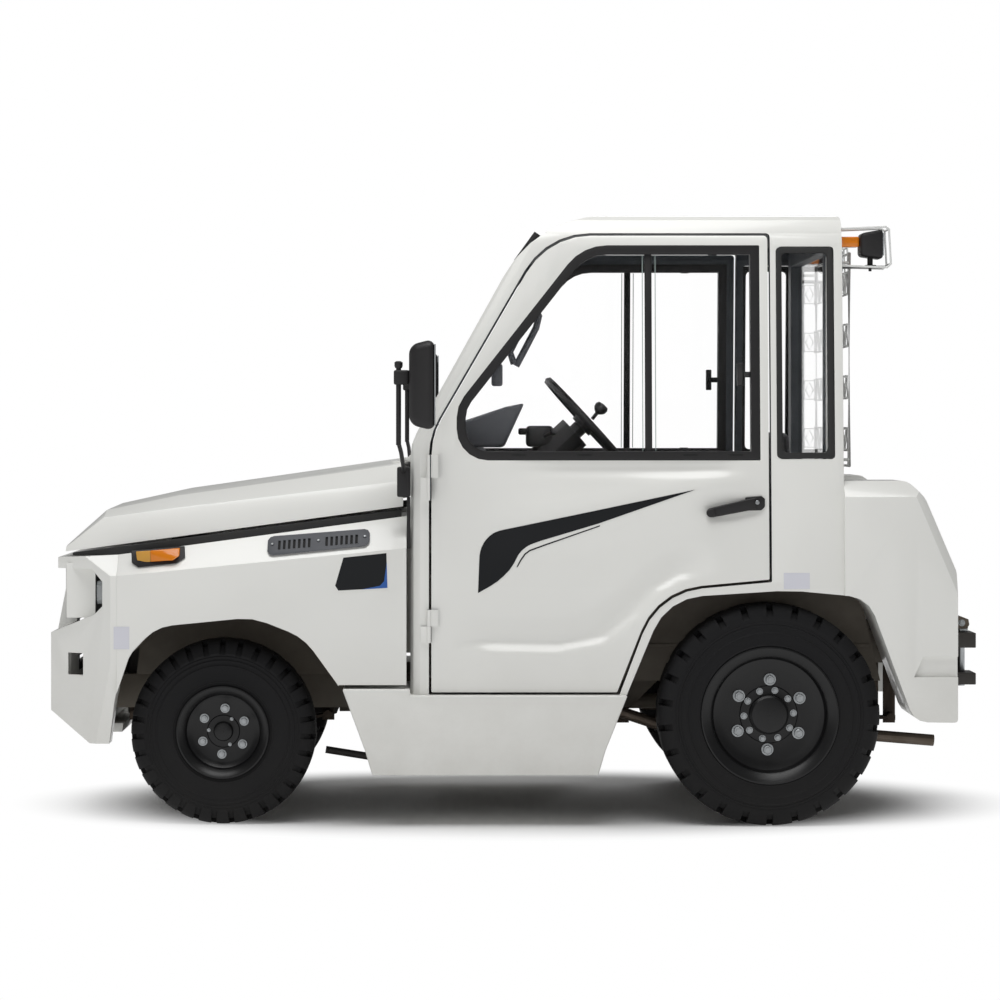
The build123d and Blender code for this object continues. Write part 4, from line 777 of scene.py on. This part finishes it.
# signs, vents and signals, by their outlines in the photograph's pixels
marks = {
    "swoosh": ((478, 593.2), (479.5, 556.3), (480.3, 551.5), (481.6, 547.4), (483.6, 543.3), (486.2, 539.7),
               (489.5, 536.2), (494, 533), (499, 531), (504.2, 529.7), (593, 511.3), (695.7, 489.7), (657, 503.2),
               (598.7, 523.6), (540.6, 541), (531, 544.4), (526, 547.2), (521.7, 550.8), (518.6, 554.6),
               (513.9, 563.6), (509.6, 570), (504.2, 575.7), (497.5, 581.5), (489.7, 586.6)),
    "line": ((516.6, 567), (520.3, 559.8), (524.6, 553.7), (529.5, 550), (543, 545.1), (600, 525.4), (600, 526.5),
             (543.3, 546.4), (530, 551.3), (525.6, 554.7), (521.5, 560.5), (517.6, 567.3)),
    "badgeBorder": ((342, 556), (388, 551), (389, 589), (337, 592), (333, 586)),
    "badgePlate": ((343.5, 557.5), (386.5, 553), (387.5, 587.7), (338.5, 590.4), (335.3, 585.6)),
    "badgeCorner": ((386.8, 562), (387.5, 587.7), (362, 589.2), (380, 585.6), (384.2, 581)),
    "hookPlate": ((114, 626.5), (129.6, 626.5), (129.6, 649), (114, 649)),
    "tyrePlate": ((784, 573), (810, 573), (810, 589), (784, 589)),
    "vent": ((267, 541), (269.5, 537.8), (273, 536.8), (364, 529.6), (367.5, 530.5), (369.5, 533.5), (369.5, 542),
             (367, 545), (364, 546.3), (273, 555.4), (269.5, 554.6), (267, 551.5)),
    "ventBack": ((273, 541.5), (364, 534.5), (364, 543), (273, 551)),
    "signalBases": ((131, 551), (183, 546.8), (184.5, 558), (176, 563.5), (138, 567.5), (131, 563)),
    "signalFronts": ((136, 551.5), (150.5, 550.5), (150.5, 562), (137, 563)),
    "signalLenses": ((150.5, 550.5), (179, 548.3), (179, 556), (173, 560.3), (150.5, 562)),
}
outlines = {name: traced(points) for name, points in marks.items()}
stripe = {"lift": (-0.001, 0.0010), "grid": 0.012}
doorSkin, cabSide = [bpy.data.objects["doorLeftSkin"]], [bpy.data.objects["cabSides"]]
fenders = [bpy.data.objects["frontFenders"], bpy.data.objects["noseCasting"]]

for hand in ("Left", "Right"):
    for mark in ("swoosh", "line"):
        film = plateOn(outlines[mark], doorSkin, *stripe["lift"], stripe["grid"])
        if hand == "Right":
            twin = otherSide(film)
            bpy.data.objects.remove(film)
            film = twin
        seat(film, mark + hand, "door_" + hand.lower(), "black_paint", "decalFilm", 40)

# plates: the panels behind each, its back and face above them, its slot and its finish
plates = {
    "badgeBorder": (fenders, -0.001, 0.0010, "white_paint", "enamelWhite"),
    "badgePlate": (fenders, 0.0005, 0.0016, "black_paint", "decalFilm"),
    "badgeCorner": (fenders, 0.0010, 0.0021, "black_paint", "blueFilm"),
    "hookPlate": (fenders, -0.001, 0.0012, "white_paint", "paleFilm"),
    "tyrePlate": (cabSide, -0.001, 0.0010, "white_paint", "paleFilm"),
}
for name, (behind, low, high, slot, finish) in plates.items():
    seat(plateOn(outlines[name], behind, low, high), name, "chassis", slot, finish)
print("stage: signs made")


# louvred vents: a rounded strip over a dark back, with two groups of slots and three screws, in pixels
vents = {"lift": (-0.003, 0.009), "backLift": (-0.001, 0.003), "cutLift": (-0.001, 0.015), "starts": (277.5, 325),
         "count": 7, "pitch": 5.0, "slot": ((0, -4.4), (2.6, -4.4), (2.6, 4.4), (0, 4.4)),
         "row": (267, 546.3, 0.0775), "screws": ((271.8, 546.3), (318.3, 542.6), (364.8, 538.4)),
         "screwHead": ((0.0001, 0.008), (0.0045, 0.008), (0.0045, 0.0095), (0.003, 0.011), (0.0001, 0.0115))}
vent = plateOn(outlines["vent"], fenders, *vents["lift"])
back = plateOn(outlines["ventBack"], fenders, *vents["backLift"])
seat(bothSides(back), "ventBacks", "chassis", "black_plastic", "darkGap")
louvres = []
rowX, rowY, rowFall = vents["row"]
for px in [start + k * vents["pitch"] for start in vents["starts"] for k in range(vents["count"])]:
    middle = rowY - (px - rowX) * rowFall
    louvres.append(plateOn(traced([(px + dx, middle + dy) for dx, dy in vents["slot"]]), fenders, *vents["cutLift"]))
cutAway(vent, joinPieces(louvres))
softenEdges(vent, 0.0012)
seat(bothSides(vent), "sideVents", "chassis", "black_plastic", "greyPlastic", 30, ["side_vents"])
screws = []
for x, z in traced(vents["screws"]):
    hit, place, normal, index = fenders[0].ray_cast((x, rayStart, z), (0, 1, 0))
    screws.append(latheOutline(vents["screwHead"], place, 12, normal))
seat(bothSides(joinPieces(screws)), "ventScrews", "chassis", *zincPlated)

# turn signals: a black base with a low yellow front and an amber wedge that rises to the rear
wedge = {"low": 0.017, "rise": 0.16, "start": -1.19}
signals = {
    "signalBases": (-0.003, 0.007, 0.002, 2, *blackTrim, ()),
    "signalFronts": (0.006, 0.016, 0.002, 2, "lamp_lens", "yellowLens", ()),
    "signalLenses": (0.006, lambda x: wedge["low"] + wedge["rise"] * max(0.0, x - wedge["start"]), 0.003, 3,
                     "amber_lens", "amberLens", ["turn_signals"]),
}
for name, (low, high, rounding, segments, slot, finish, stands) in signals.items():
    signal = softenEdges(plateOn(outlines[name], fenders, low, high), rounding, segments)
    seat(bothSides(signal), name, "chassis", slot, finish, 30, stands)
print("stage: vents and signals made")


# rubber seal under the hood's edge: stations of x, half width, foot and head
seal = {"stations": ((-1.452, 0.590, 0.858, 0.867), (-1.300, 0.628, 0.858, 0.887), (-0.400, 0.598, 0.978, 1.006)),
        "thick": 0.012}
corners = []
for x, y, low, high in seal["stations"]:
    corners += [(x, -y, low), (x, -y, high), (x, -y + seal["thick"], high), (x, -y + seal["thick"], low)]
quads = [(0, 1, 2, 3), (11, 10, 9, 8)]
for i in (0, 4):
    quads += [(i + k, i + 4 + k, i + 4 + (k + 1) % 4, i + (k + 1) % 4) for k in range(4)]
rubber = softenEdges(meshPiece("seal", corners, quads), 0.003)
seat(bothSides(rubber), "hoodSeals", "chassis", "black_plastic", "sealRubber")


# door glazing: the frame with its drain slots, the panes in it, their edges and the bar between them
window = {"opening": ((-0.195, 1.191), (-0.195, 1.326), (0.1925, 1.819), (0.712, 1.819), (0.712, 1.191)),
          "radii": (0.071, 0.081, 0.131, 0.001, 0.001), "pane": (-0.020, -0.014),
          "oldBar": ((0.578, -0.70, 1.193), (0.608, -0.55, 1.817)),
          "oldHandle": ((0.560, -0.72, 0.95), (0.780, -0.55, 1.08)),
          "bar": ((0.376, 0.398), (1.185, 1.822), (-0.028, -0.008)),
          "glassEdges": ((0.367, 0.3695), (0.408, 0.4105)), "edgeZ": (1.193, 1.817), "edgeLift": (-0.013, -0.0085),
          "drains": (512, 578, 684, 730), "drainRun": 14, "drainRows": (456.0, 454.2), "drainLift": (-0.002, 0.0006)}
trim = copyNode("door_left_trim")
cutAway(trim, box(*window["oldBar"]))
cutAway(trim, box(*window["oldHandle"]))
softenEdges(trim, 0.003, 2, 40)
trim = joinPieces([trim, softenEdges(rectOnSide(*window["bar"]), 0.002)])
seat(trim, "doorTrimLeft", "door_left", *blackTrim, 35, ["door_left_trim"])
seat(otherSide(trim), "doorTrimRight", "door_right", *blackTrim, 35, ["door_right_trim"])
pane = layOnSide(roundCorners(window["opening"], window["radii"]), *window["pane"])
mirroredPair(pane, "doorGlass", "door_left", "clear_glass", "windowGlass", 0, ["door_left_glass"])
edges = [rectOnSide(span, window["edgeZ"], window["edgeLift"]) for span in window["glassEdges"]]
mirroredPair(joinPieces(edges), "paneEdges", "door_left", "clear_glass", "paneEdge", 0)
drains = []
for px in window["drains"]:
    foot, top = window["drainRows"]
    (x0, z1), (x1, z0) = traced(((px, top), (px + window["drainRun"], foot)))
    drains.append(rectOnSide((x0, x1), (z0, z1), window["drainLift"]))
mirroredPair(joinPieces(drains), "drainSlots", "door_left", "black_plastic", "darkGap", 0)

# window latches: a T-shaped finger grip on the frame's rear edge
grip = {"corners": ((737.5, 386), (743.5, 363)), "depth": 0.63, "y": (-0.628, -0.606), "stemY": (-0.622, -0.612),
        "stemEnd": 0.716, "stemHalf": 0.009, "lap": 0.002}
(x0, z0), (x1, z1) = traced(grip["corners"], grip["depth"])
(y0, y1), (stem0, stem1), middle = grip["y"], grip["stemY"], (z0 + z1) / 2
gripParts = [box((x0, y0, z0), (x1, y1, z1), 0.003),
             box((x1 - grip["lap"], stem0, middle - grip["stemHalf"]),
                 (grip["stemEnd"], stem1, middle + grip["stemHalf"]), 0.002)]
mirroredPair(joinPieces(gripParts), "windowLatch", "door_left", *blackTrim)

# quarter window rubber: a ring between two rounded rectangles
quarter = {"x": (0.793, 0.976), "z": (1.168, 1.842), "insets": ((0, 0.016), (0.019, 0.018)), "lift": (-0.022, 0.0015)}
(x0, x1), (z0, z1) = quarter["x"], quarter["z"]
rings = [roundCorners([(x0 + d, z0 + d), (x1 - d, z0 + d), (x1 - d, z1 - d), (x0 + d, z1 - d)], [radius] * 4)
         for d, radius in quarter["insets"]]
rubber = softenEdges(ringOnSide(*rings, *quarter["lift"]), 0.002)
seat(bothSides(rubber), "quarterRubbers", "chassis", "black_plastic", "sealRubber")
print("stage: windows made")


# door handle: pivot plate, tapered lever with its round end, and the lock cylinder
handle = {"pivot": ((746, 497.5), (762, 496), (765.5, 499), (765.5, 507), (762, 510.5), (746, 511)),
          "pivotLift": (-0.004, 0.008), "leverLift": (0.004, 0.015),
          "lever": ((709, 508.5), (747, 499.5), (757, 497.5), (757, 508.5), (748, 511), (713, 517.5), (708, 515.5),
                    (707, 511.5)),
          "end": (711.3, 512.8), "endY": -0.672, "lock": (757.5, 502.5), "lockY": -0.6880,
          "endForm": ((0.0001, 0), (0.0135, 0), (0.0145, -0.004), (0.0145, -0.016), (0.0105, -0.020), (0.0001, -0.020)),
          "lockForm": ((0.0001, 0.0), (0.0065, 0.0), (0.0065, -0.0025), (0.0050, -0.0035), (0.0001, -0.0035))}
pivot = softenEdges(plateOn(traced(handle["pivot"]), doorSkin, *handle["pivotLift"]), 0.003, 3)
lever = softenEdges(plateOn(traced(handle["lever"]), doorSkin, *handle["leverLift"]), 0.004, 3)
x, z = fromPhoto(*handle["end"])
end = latheOutline(handle["endForm"], (x, handle["endY"], z), 24)
mirroredPair(joinPieces([pivot, lever, end]), "doorHandle", "door_left", *blackTrim, 40)
x, z = fromPhoto(*handle["lock"])
mirroredPair(latheOutline(handle["lockForm"], (x, handle["lockY"], z), 20), "doorLock", "door_left", *zincPlated)


# mirrors: rounded housing, narrower at its front, with its glass, clamp, knob and the two-part arm
mirror = {"shell": ((-0.372, -0.925, 1.256), (-0.292, -0.755, 1.543)), "frontX": -0.35, "middle": (-0.84, 1.4),
          "draw": (0.022, 0.020), "glass": ((-0.293, -0.912, 1.272), (-0.2895, -0.768, 1.527), 0.001, 1)}
arm = {
    "clamp": (box, (-0.420, -0.856, 1.400), (-0.372, -0.824, 1.446), 0.006),
    "post": (tube, ((-0.405, -0.840, 1.212), (-0.405, -0.840, 1.452)), 0.008),
    "arm": (tube, ((-0.405, -0.840, 1.218), (-0.398, -0.800, 1.190), (-0.392, -0.700, 1.140),
                   (-0.392, -0.664, 1.118)), 0.007),
    "bracket": (box, (-0.413, -0.680, 1.046), (-0.371, -0.640, 1.142), 0.006),
    "strap": (box, (-0.382, -0.672, 0.882), (-0.371, -0.652, 1.047), 0.003),
    "knob": (latheOutline, ((0.0001, 0), (0.010, 0), (0.013, 0.006), (0.013, 0.018), (0.007, 0.022), (0.0001, 0.022)),
             (-0.405, -0.840, 1.452), 16, (0, 0, 1)),
}
shell = box(*mirror["shell"])
(middleY, middleZ), (drawY, drawZ) = mirror["middle"], mirror["draw"]
for corner in shell.data.vertices:
    if corner.co.x < mirror["frontX"]:
        corner.co.y += drawY if corner.co.y < middleY else -drawY
        corner.co.z += drawZ if corner.co.z < middleZ else -drawZ
softenEdges(shell, 0.028, 6, 30)
seat(bothSides(joinPieces([shell] + makeParts(arm))), "mirrorFrames", "chassis", *blackTrim, 35, ["mirrors"])
seat(bothSides(box(*mirror["glass"])), "mirrorGlasses", "chassis", "bare_steel", "mirrorSilver")
print("stage: mirrors made")


# rear guard: a closed frame tube on four feet, three posts, and four lattice bands with a diamond at each end
guard = {"x": 1.050, "half": 0.440, "low": 1.142, "high": 1.831, "footX": 1.004, "footUp": 0.02, "footDown": 0.03,
         "posts": (-0.22, 0.0, 0.22), "tops": (1.771, 1.602, 1.434, 1.265), "tall": 0.073, "cells": 8,
         "bandIn": 0.006, "bandOut": 0.042, "weave": 0.003, "lip": 0.004, "diamond": (0.024, 0.014, 0.027),
         "frameWire": 0.006, "footWire": 0.005, "postWire": 0.004, "railWire": 0.003, "wire": 0.0022, "endWire": 0.0025}
gx, half, low, high, tall = (guard[key] for key in ("x", "half", "low", "high", "tall"))
bars = [tube([(gx, -half, low), (gx, -half, high), (gx, half, high), (gx, half, low)], guard["frameWire"], 12, True)]
for z in (low + guard["footUp"], high - guard["footDown"]):
    bars += [tube([(guard["footX"], y, z), (gx, y, z)], guard["footWire"]) for y in (-half, half)]
bars += [tube([(gx, y, low), (gx, y, high)], guard["postWire"]) for y in guard["posts"]]
nearX, farX, pitch = gx - guard["bandIn"], gx - guard["bandOut"], 2 * half / guard["cells"]
for top in guard["tops"]:
    bars += [tube([(nearX, -half, z), (nearX, half, z)], guard["railWire"], 8) for z in (top, top - tall)]
    for start in (0, 1):
        path = [(nearX + guard["weave"] * start, -half + pitch * k / 2, top - tall * ((k + start) % 2))
                for k in range(2 * guard["cells"] + 1)]
        bars.append(tube(path, guard["wire"], 6))
    back, reach, rise = guard["diamond"]
    mx, mz, head, foot = gx - back, top - tall / 2, top - guard["lip"], top - tall + guard["lip"]
    for y in (-half, half):
        for loop in (((farX, head), (nearX, head), (nearX, foot), (farX, foot)),
                     ((mx - reach, mz), (mx, mz + rise), (mx + reach, mz), (mx, mz - rise))):
            bars.append(tube([(x, y, z) for x, z in loop], guard["endWire"], 6, True))
seat(joinPieces(bars), "rearGuardFrame", "chassis", *whiteWire, 50, ["rear_guard"])

# work lamps with their feet, amber beacons and wire cages, at the roof's rear corners
lamp = {"shell": ((1.070, -0.575, 1.806), (1.143, -0.485, 1.903)), "rearX": 1.1, "middleZ": 1.85,
        "draw": (0.010, -0.014), "lens": ((1.1425, -0.567, 1.818), (1.1465, -0.493, 1.891), 0.0015),
        "beacon": ((1.006, -0.560, 1.846), (1.068, -0.500, 1.879), 0.006)}
foot = {
    "stem": (tube, ((1.106, -0.530, 1.812), (1.106, -0.530, 1.779)), 0.009),
    "washer": (box, (1.088, -0.548, 1.779), (1.124, -0.512, 1.789), 0.003),
    "plate": (box, (1.0, -0.578, 1.779), (1.150, -0.482, 1.785), 0.002),
    "bolt": (latheOutline, ((0.0001, 0), (0.005, 0), (0.005, -0.012), (0.0001, -0.012)), (1.106, -0.530, 1.781), 12,
             (0, 0, 1)),
}
cage = {"sides": (-0.581, -0.479), "wire": 0.0035,
        "loop": ((1.007, 1.785), (1.154, 1.779), (1.166, 1.791), (1.160, 1.901), (1.150, 1.909), (1.007, 1.903)),
        "rungs": ((1.166, 1.791), (1.160, 1.901), (1.011, 1.903))}
shell = box(*lamp["shell"])
for corner in shell.data.vertices:
    if corner.co.x < lamp["rearX"]:
        corner.co.z += lamp["draw"][0] if corner.co.z < lamp["middleZ"] else lamp["draw"][1]
softenEdges(shell, 0.012, 4, 30)
seat(bothSides(joinPieces([shell] + makeParts(foot))), "workLamps", "chassis", *blackTrim, 35, ["work_lamps"])
seat(bothSides(box(*lamp["lens"])), "workLampLenses", "chassis", "lamp_lens", "clearLens")
seat(bothSides(box(*lamp["beacon"])), "amberBeacons", "chassis", "amber_lens", "amberLens")
wires = [tube([(x, y, z) for x, z in cage["loop"]], cage["wire"], 8) for y in cage["sides"]]
wires += [tube([(x, y, z) for y in cage["sides"]], cage["wire"], 8) for x, z in cage["rungs"]]
seat(bothSides(joinPieces(wires)), "lampCages", "chassis", *whiteWire, 50)
print("stage: guard and lamps made")


# seat pads: a rounded block, made round by its crown and drawn in along two sewn channels
pads = {"base": ((0.340, -0.475, 0.800), (0.800, -0.005, 0.905)),
        "back": ((0.775, -0.470, 0.900), (0.870, -0.010, 1.262))}
padForm = {"inset": 0.012, "rounding": 0.024, "voxel": 0.012, "crown": 0.011, "dip": 0.004, "channel": 0.35,
           "sewn": 0.07}
for name, (low, high) in pads.items():
    pad = box([v + padForm["inset"] for v in low], [v - padForm["inset"] for v in high], padForm["rounding"], 4)
    applyModifier(pad, "REMESH", mode="VOXEL", voxel_size=padForm["voxel"])
    middle = [(a + b) / 2 for a, b in zip(low, high)]
    half = [(b - a) / 2 for a, b in zip(low, high)]
    thin = 2 if name == "base" else 0
    for corner in pad.data.vertices:
        share = [(corner.co[i] - middle[i]) / half[i] for i in range(3)]
        wide = [share[i] for i in range(3) if i != thin]
        crown = max(0.0, 1 - wide[0] ** 2) * max(0.0, 1 - wide[1] ** 2)
        channel = padForm["channel"] * math.exp(-(((share[1] * 3 + 1.5) % 1 - 0.5) / padForm["sewn"]) ** 2)
        lift = padForm["crown"] * crown * (1 - channel) - padForm["dip"] * channel
        corner.co[thin] += math.copysign(lift, share[thin])
    seat(applyModifier(pad, "SUBSURF", levels=1), "seatPad" + name.title(), "chassis", "seat_cover", "seatVinyl", 60,
         ["seat"] if name == "back" else ())

# dash hood, by its outline in the photograph
dash = {"outline": ((463, 421), (481, 415), (505, 407), (523, 403.5), (503, 447), (468, 447)), "depth": 0.24,
        "y": -0.460, "wide": 0.420}
dashPlate = extrudeOutline([(x, dash["y"], z) for x, z in traced(dash["outline"], dash["depth"])], (0, dash["wide"], 0))
seat(softenEdges(dashPlate, 0.012, 3), "dashHood", "chassis", "grey_plastic", "greyPlastic", 40)

# switch cluster on the column: housing, key switch and a stalk with its grip
x, z = fromPhoto(541, 436, dash["depth"])
cluster = {
    "housing": (box, (x - 0.050, -0.285, z - 0.036), (x + 0.040, -0.195, z + 0.034), 0.014),
    "switch": (box, (x - 0.075, -0.270, z + 0.004), (x - 0.046, -0.210, z + 0.026), 0.006),
    "stalk": (tube, ((x + 0.012, -0.285, z), (x + 0.030, -0.345, z + 0.010), (x + 0.034, -0.375, z + 0.014)), 0.006),
    "grip": (box, (x + 0.026, -0.398, z + 0.004), (x + 0.044, -0.372, z + 0.026), 0.006),
}
seat(joinPieces(makeParts(cluster)), "switchCluster", "chassis", *blackTrim, 40)

# spinner knob on the steering wheel's rim
knob = {"at": (598, 412), "depth": 0.42, "y": -0.405, "axis": (0.62, 0, 0.78),
        "form": ((0.0001, -0.030), (0.006, -0.030), (0.006, -0.006), (0.014, 0.0), (0.021, 0.008), (0.023, 0.020),
                 (0.018, 0.029), (0.0001, 0.032))}
x, z = fromPhoto(*knob["at"], knob["depth"])
seat(latheOutline(knob["form"], (x, knob["y"], z), 24, knob["axis"]), "spinnerKnob", "steering_wheel", *blackTrim, 50)

# grab handle on the windscreen post: a bent bar and its foot
grab = {"depth": 0.52, "y": -0.520, "wire": 0.011, "foot": (497, 375), "footHalf": (0.018, 0.015, 0.036),
        "path": ((514, 364), (510, 352), (521, 330), (529, 312), (536, 309), (539, 316), (536, 328), (523, 353),
                 (516, 366))}
handleParts = [tube([(x, grab["y"], z) for x, z in traced(grab["path"], grab["depth"])], grab["wire"], 12)]
x, z = fromPhoto(*grab["foot"], grab["depth"])
dx, dy, dz = grab["footHalf"]
handleParts.append(box((x - dx, grab["y"] - dy, z - dz), (x + dx, grab["y"] + dy, z + dz), 0.008))
seat(joinPieces(handleParts), "grabHandle", "chassis", "grey_plastic", "greyPlastic", 50)
print("stage: cab interior made")


# lamp pockets' inner walls, rear wheel houses, and the rod to the steering gear
seat(bothSides(box((-1.468, -0.612, 0.660), (-1.377, -0.600, 0.835))), "lampPockets", "chassis", *whitePaint)
houses = {"wall": ((0.305, 0.445), (0.560, 0.445), (0.585, 0.492), (0.955, 0.492), (0.980, 0.445), (1.150, 0.445),
                   (1.075, 0.766), (0.360, 0.766)),
          "wallY": -0.447, "thick": 0.005, "roof": ((0.345, -0.640, 0.758), (1.060, -0.442, 0.764)),
          "ledge": ((0.335, -0.4515, 0.556), (1.115, -0.4450, 0.566), 0.002)}
wall = extrudeOutline([(x, houses["wallY"], z) for x, z in houses["wall"]], (0, houses["thick"], 0))
seat(bothSides(joinPieces([wall, box(*houses["roof"]), box(*houses["ledge"])])), "rearWheelHouses", "chassis",
     "chassis_paint", "chassisPaint")
seat(tube([(-0.655, -0.285, 0.205), (-0.480, -0.285, 0.177)], 0.012), "steeringRod", "chassis", "black_iron",
     "castIron", 50)

# wiper: motor housing and arm on the windscreen's head, between two points of the photograph
(x0, z0), (x1, z1) = traced(((516, 262), (538, 228)), 0.0)
wiper = {
    "motor": (tube, ((x0 + 0.002, -0.10, z0 - 0.006), (x1 - 0.004, -0.10, z1 - 0.026)), 0.013),
    "arm": (tube, ((x0 - 0.006, -0.10, z0 - 0.012), (x0 - 0.010, 0.05, z0 - 0.022), (x0 - 0.040, 0.36, z0 - 0.070)),
            0.006),
}
seat(joinPieces(makeParts(wiper)), "wiper", "chassis", *blackTrim, 50)

# hitch latch: a cheek plate with its pivot bolt above the jaws
latch = {"plate": ((1.352, 0.586), (1.500, 0.586), (1.508, 0.600), (1.505, 0.618), (1.480, 0.628), (1.440, 0.628),
                   (1.375, 0.662), (1.352, 0.662)), "y": (0.028, 0.034), "bolt": (1.482, 0.606), "nut": (0.009, 0.012)}
(y0, y1), (bx, bz) = latch["y"], latch["bolt"]
cheek = softenEdges(extrudeOutline([(x, -y1, z) for x, z in latch["plate"]], (0, y1 - y0, 0)), 0.001, 1)
seat(bothSides(cheek), "latchPlates", "chassis", "bare_steel", "pipeSteel")
seat(bothSides(hexBolt((bx, -y1, bz), *latch["nut"])), "latchBolts", "chassis", *zincPlated)


# steel pieces that keep their CAD form, with broken edges and smooth turnings: name, edge width, smoothing angle
worked = {
    "chassis_frame": ("chassisRails", 0.002, 30), "inner_fenders": ("wheelHouses", 0.002, 30),
    "leaf_springs": ("springPacks", 0.0015, 30), "exhaust": ("exhaustPipe", 0.001, 60),
    "front_axle": ("frontAxleBeam", 0.004, 50), "rear_axle": ("rearAxleCase", 0.004, 60),
    "tow_coupler": ("hitchCasting", 0.004, 40), "coupler_pin": ("hitchPin", 0.001, 60),
    "tie_rod": ("tieRod", 0.001, 60), "steering_wheel": ("steeringRim", 0.002, 60),
    "steering_column": ("columnCover", 0.006, 50), "dashboard": ("dashPanel", 0.006, 40),
    "tail_lamps": ("tailLamps", 0.004, 40), "headlamps": ("headLamps", 0.003, 40),
    "knuckle_left": ("knuckleLeft", 0.002, 50), "knuckle_right": ("knuckleRight", 0.002, 50),
    "cab_floor": ("cabFloor", 0.003, 30), "drive_shaft": ("driveShaft", 0.001, 60),
    "engine": ("engineBlock", 0.010, 30), "radiator": ("radiatorCore", 0.003, 30),
}
for node, (name, width, smooth) in worked.items():
    seat(softenEdges(copyNode(node), width, 2, 20), name, bodyOf[node], slotOf[node], slotFinish[slotOf[node]], smooth,
         [node])
print("stage: running gear made")


# stage: pale floor that fades to white, soft studio light
stage = {"floor": "#f4f4f4", "floorSize": 60.0, "floorRough": 0.9, "world": 0.20, "fadeHalf": (1.35, 0.80),
         "fade": (0.85, 1.3)}
# each light's place, the point it looks at, its width and its power
lights = {"keyLight": ((-0.6, -2.2, 6.5), (0, 0, 0.8), 5.5, 285.0),
          "fillLight": ((-2.0, -8.0, 2.2), (0, 0, 0.8), 5.0, 38.0),
          "rearLight": ((1.0, 5.5, 4.5), (0, 0, 1.0), 4.0, 60.0)}

clearSelection()
bpy.ops.mesh.primitive_plane_add(size=stage["floorSize"])
floor = bpy.context.object
floor.name = "floor"
paperFloor, tree, paper, place = startMaterial("paperFloor")
paper.inputs["Base Color"].default_value = toLinear(stage["floor"])
paper.inputs["Roughness"].default_value = stage["floorRough"]
squeeze = addNode(tree, "ShaderNodeVectorMath", {"operation": "MULTIPLY"}, links={0: place})
squeeze.inputs[1].default_value = (1 / stage["fadeHalf"][0], 1 / stage["fadeHalf"][1], 0.0)
distance = addNode(tree, "ShaderNodeVectorMath", {"operation": "LENGTH"}, links={0: squeeze.outputs[0]})
fade = addNode(tree, "ShaderNodeMapRange", {"interpolation_type": "SMOOTHSTEP"},
               {"From Min": stage["fade"][0], "From Max": stage["fade"][1]}, {"Value": distance.outputs["Value"]})
white = addNode(tree, "ShaderNodeEmission", values={"Color": (1.0, 1.0, 1.0, 1.0), "Strength": 1.0})
blend = addNode(tree, "ShaderNodeMixShader",
                links={0: fade.outputs["Result"], 1: paper.outputs["BSDF"], 2: white.outputs["Emission"]})
tree.links.new(blend.outputs["Shader"], tree.nodes["Material Output"].inputs["Surface"])
floor.data.materials.append(paperFloor)

# the world is white to the camera and through glass, and dimmer as a light
world = bpy.data.worlds.new("studio")
world.use_nodes = True
bpy.context.scene.world = world
background = world.node_tree.nodes["Background"]
rays = addNode(world.node_tree, "ShaderNodeLightPath")
seen = addNode(world.node_tree, "ShaderNodeMath", {"operation": "MAXIMUM"},
               links={0: rays.outputs["Is Camera Ray"], 1: rays.outputs["Is Transmission Ray"]})
background.inputs["Color"].default_value = (1.0, 1.0, 1.0, 1.0)
strength = addNode(world.node_tree, "ShaderNodeMapRange", values={"To Min": stage["world"], "To Max": 1.0},
                   links={"Value": seen.outputs[0]})
world.node_tree.links.new(strength.outputs["Result"], background.inputs["Strength"])

for name, (place, target, width, power) in lights.items():
    data = bpy.data.lights.new(name, "AREA")
    data.shape = "RECTANGLE"
    data.size = width
    data.size_y = width * 0.7
    data.energy = power
    light = bpy.data.objects.new(name, data)
    light.location = place
    light.rotation_euler = (Vector(target) - Vector(place)).to_track_quat("-Z", "Y").to_euler()
    bpy.context.scene.collection.objects.link(light)
print("stage: set and lit")
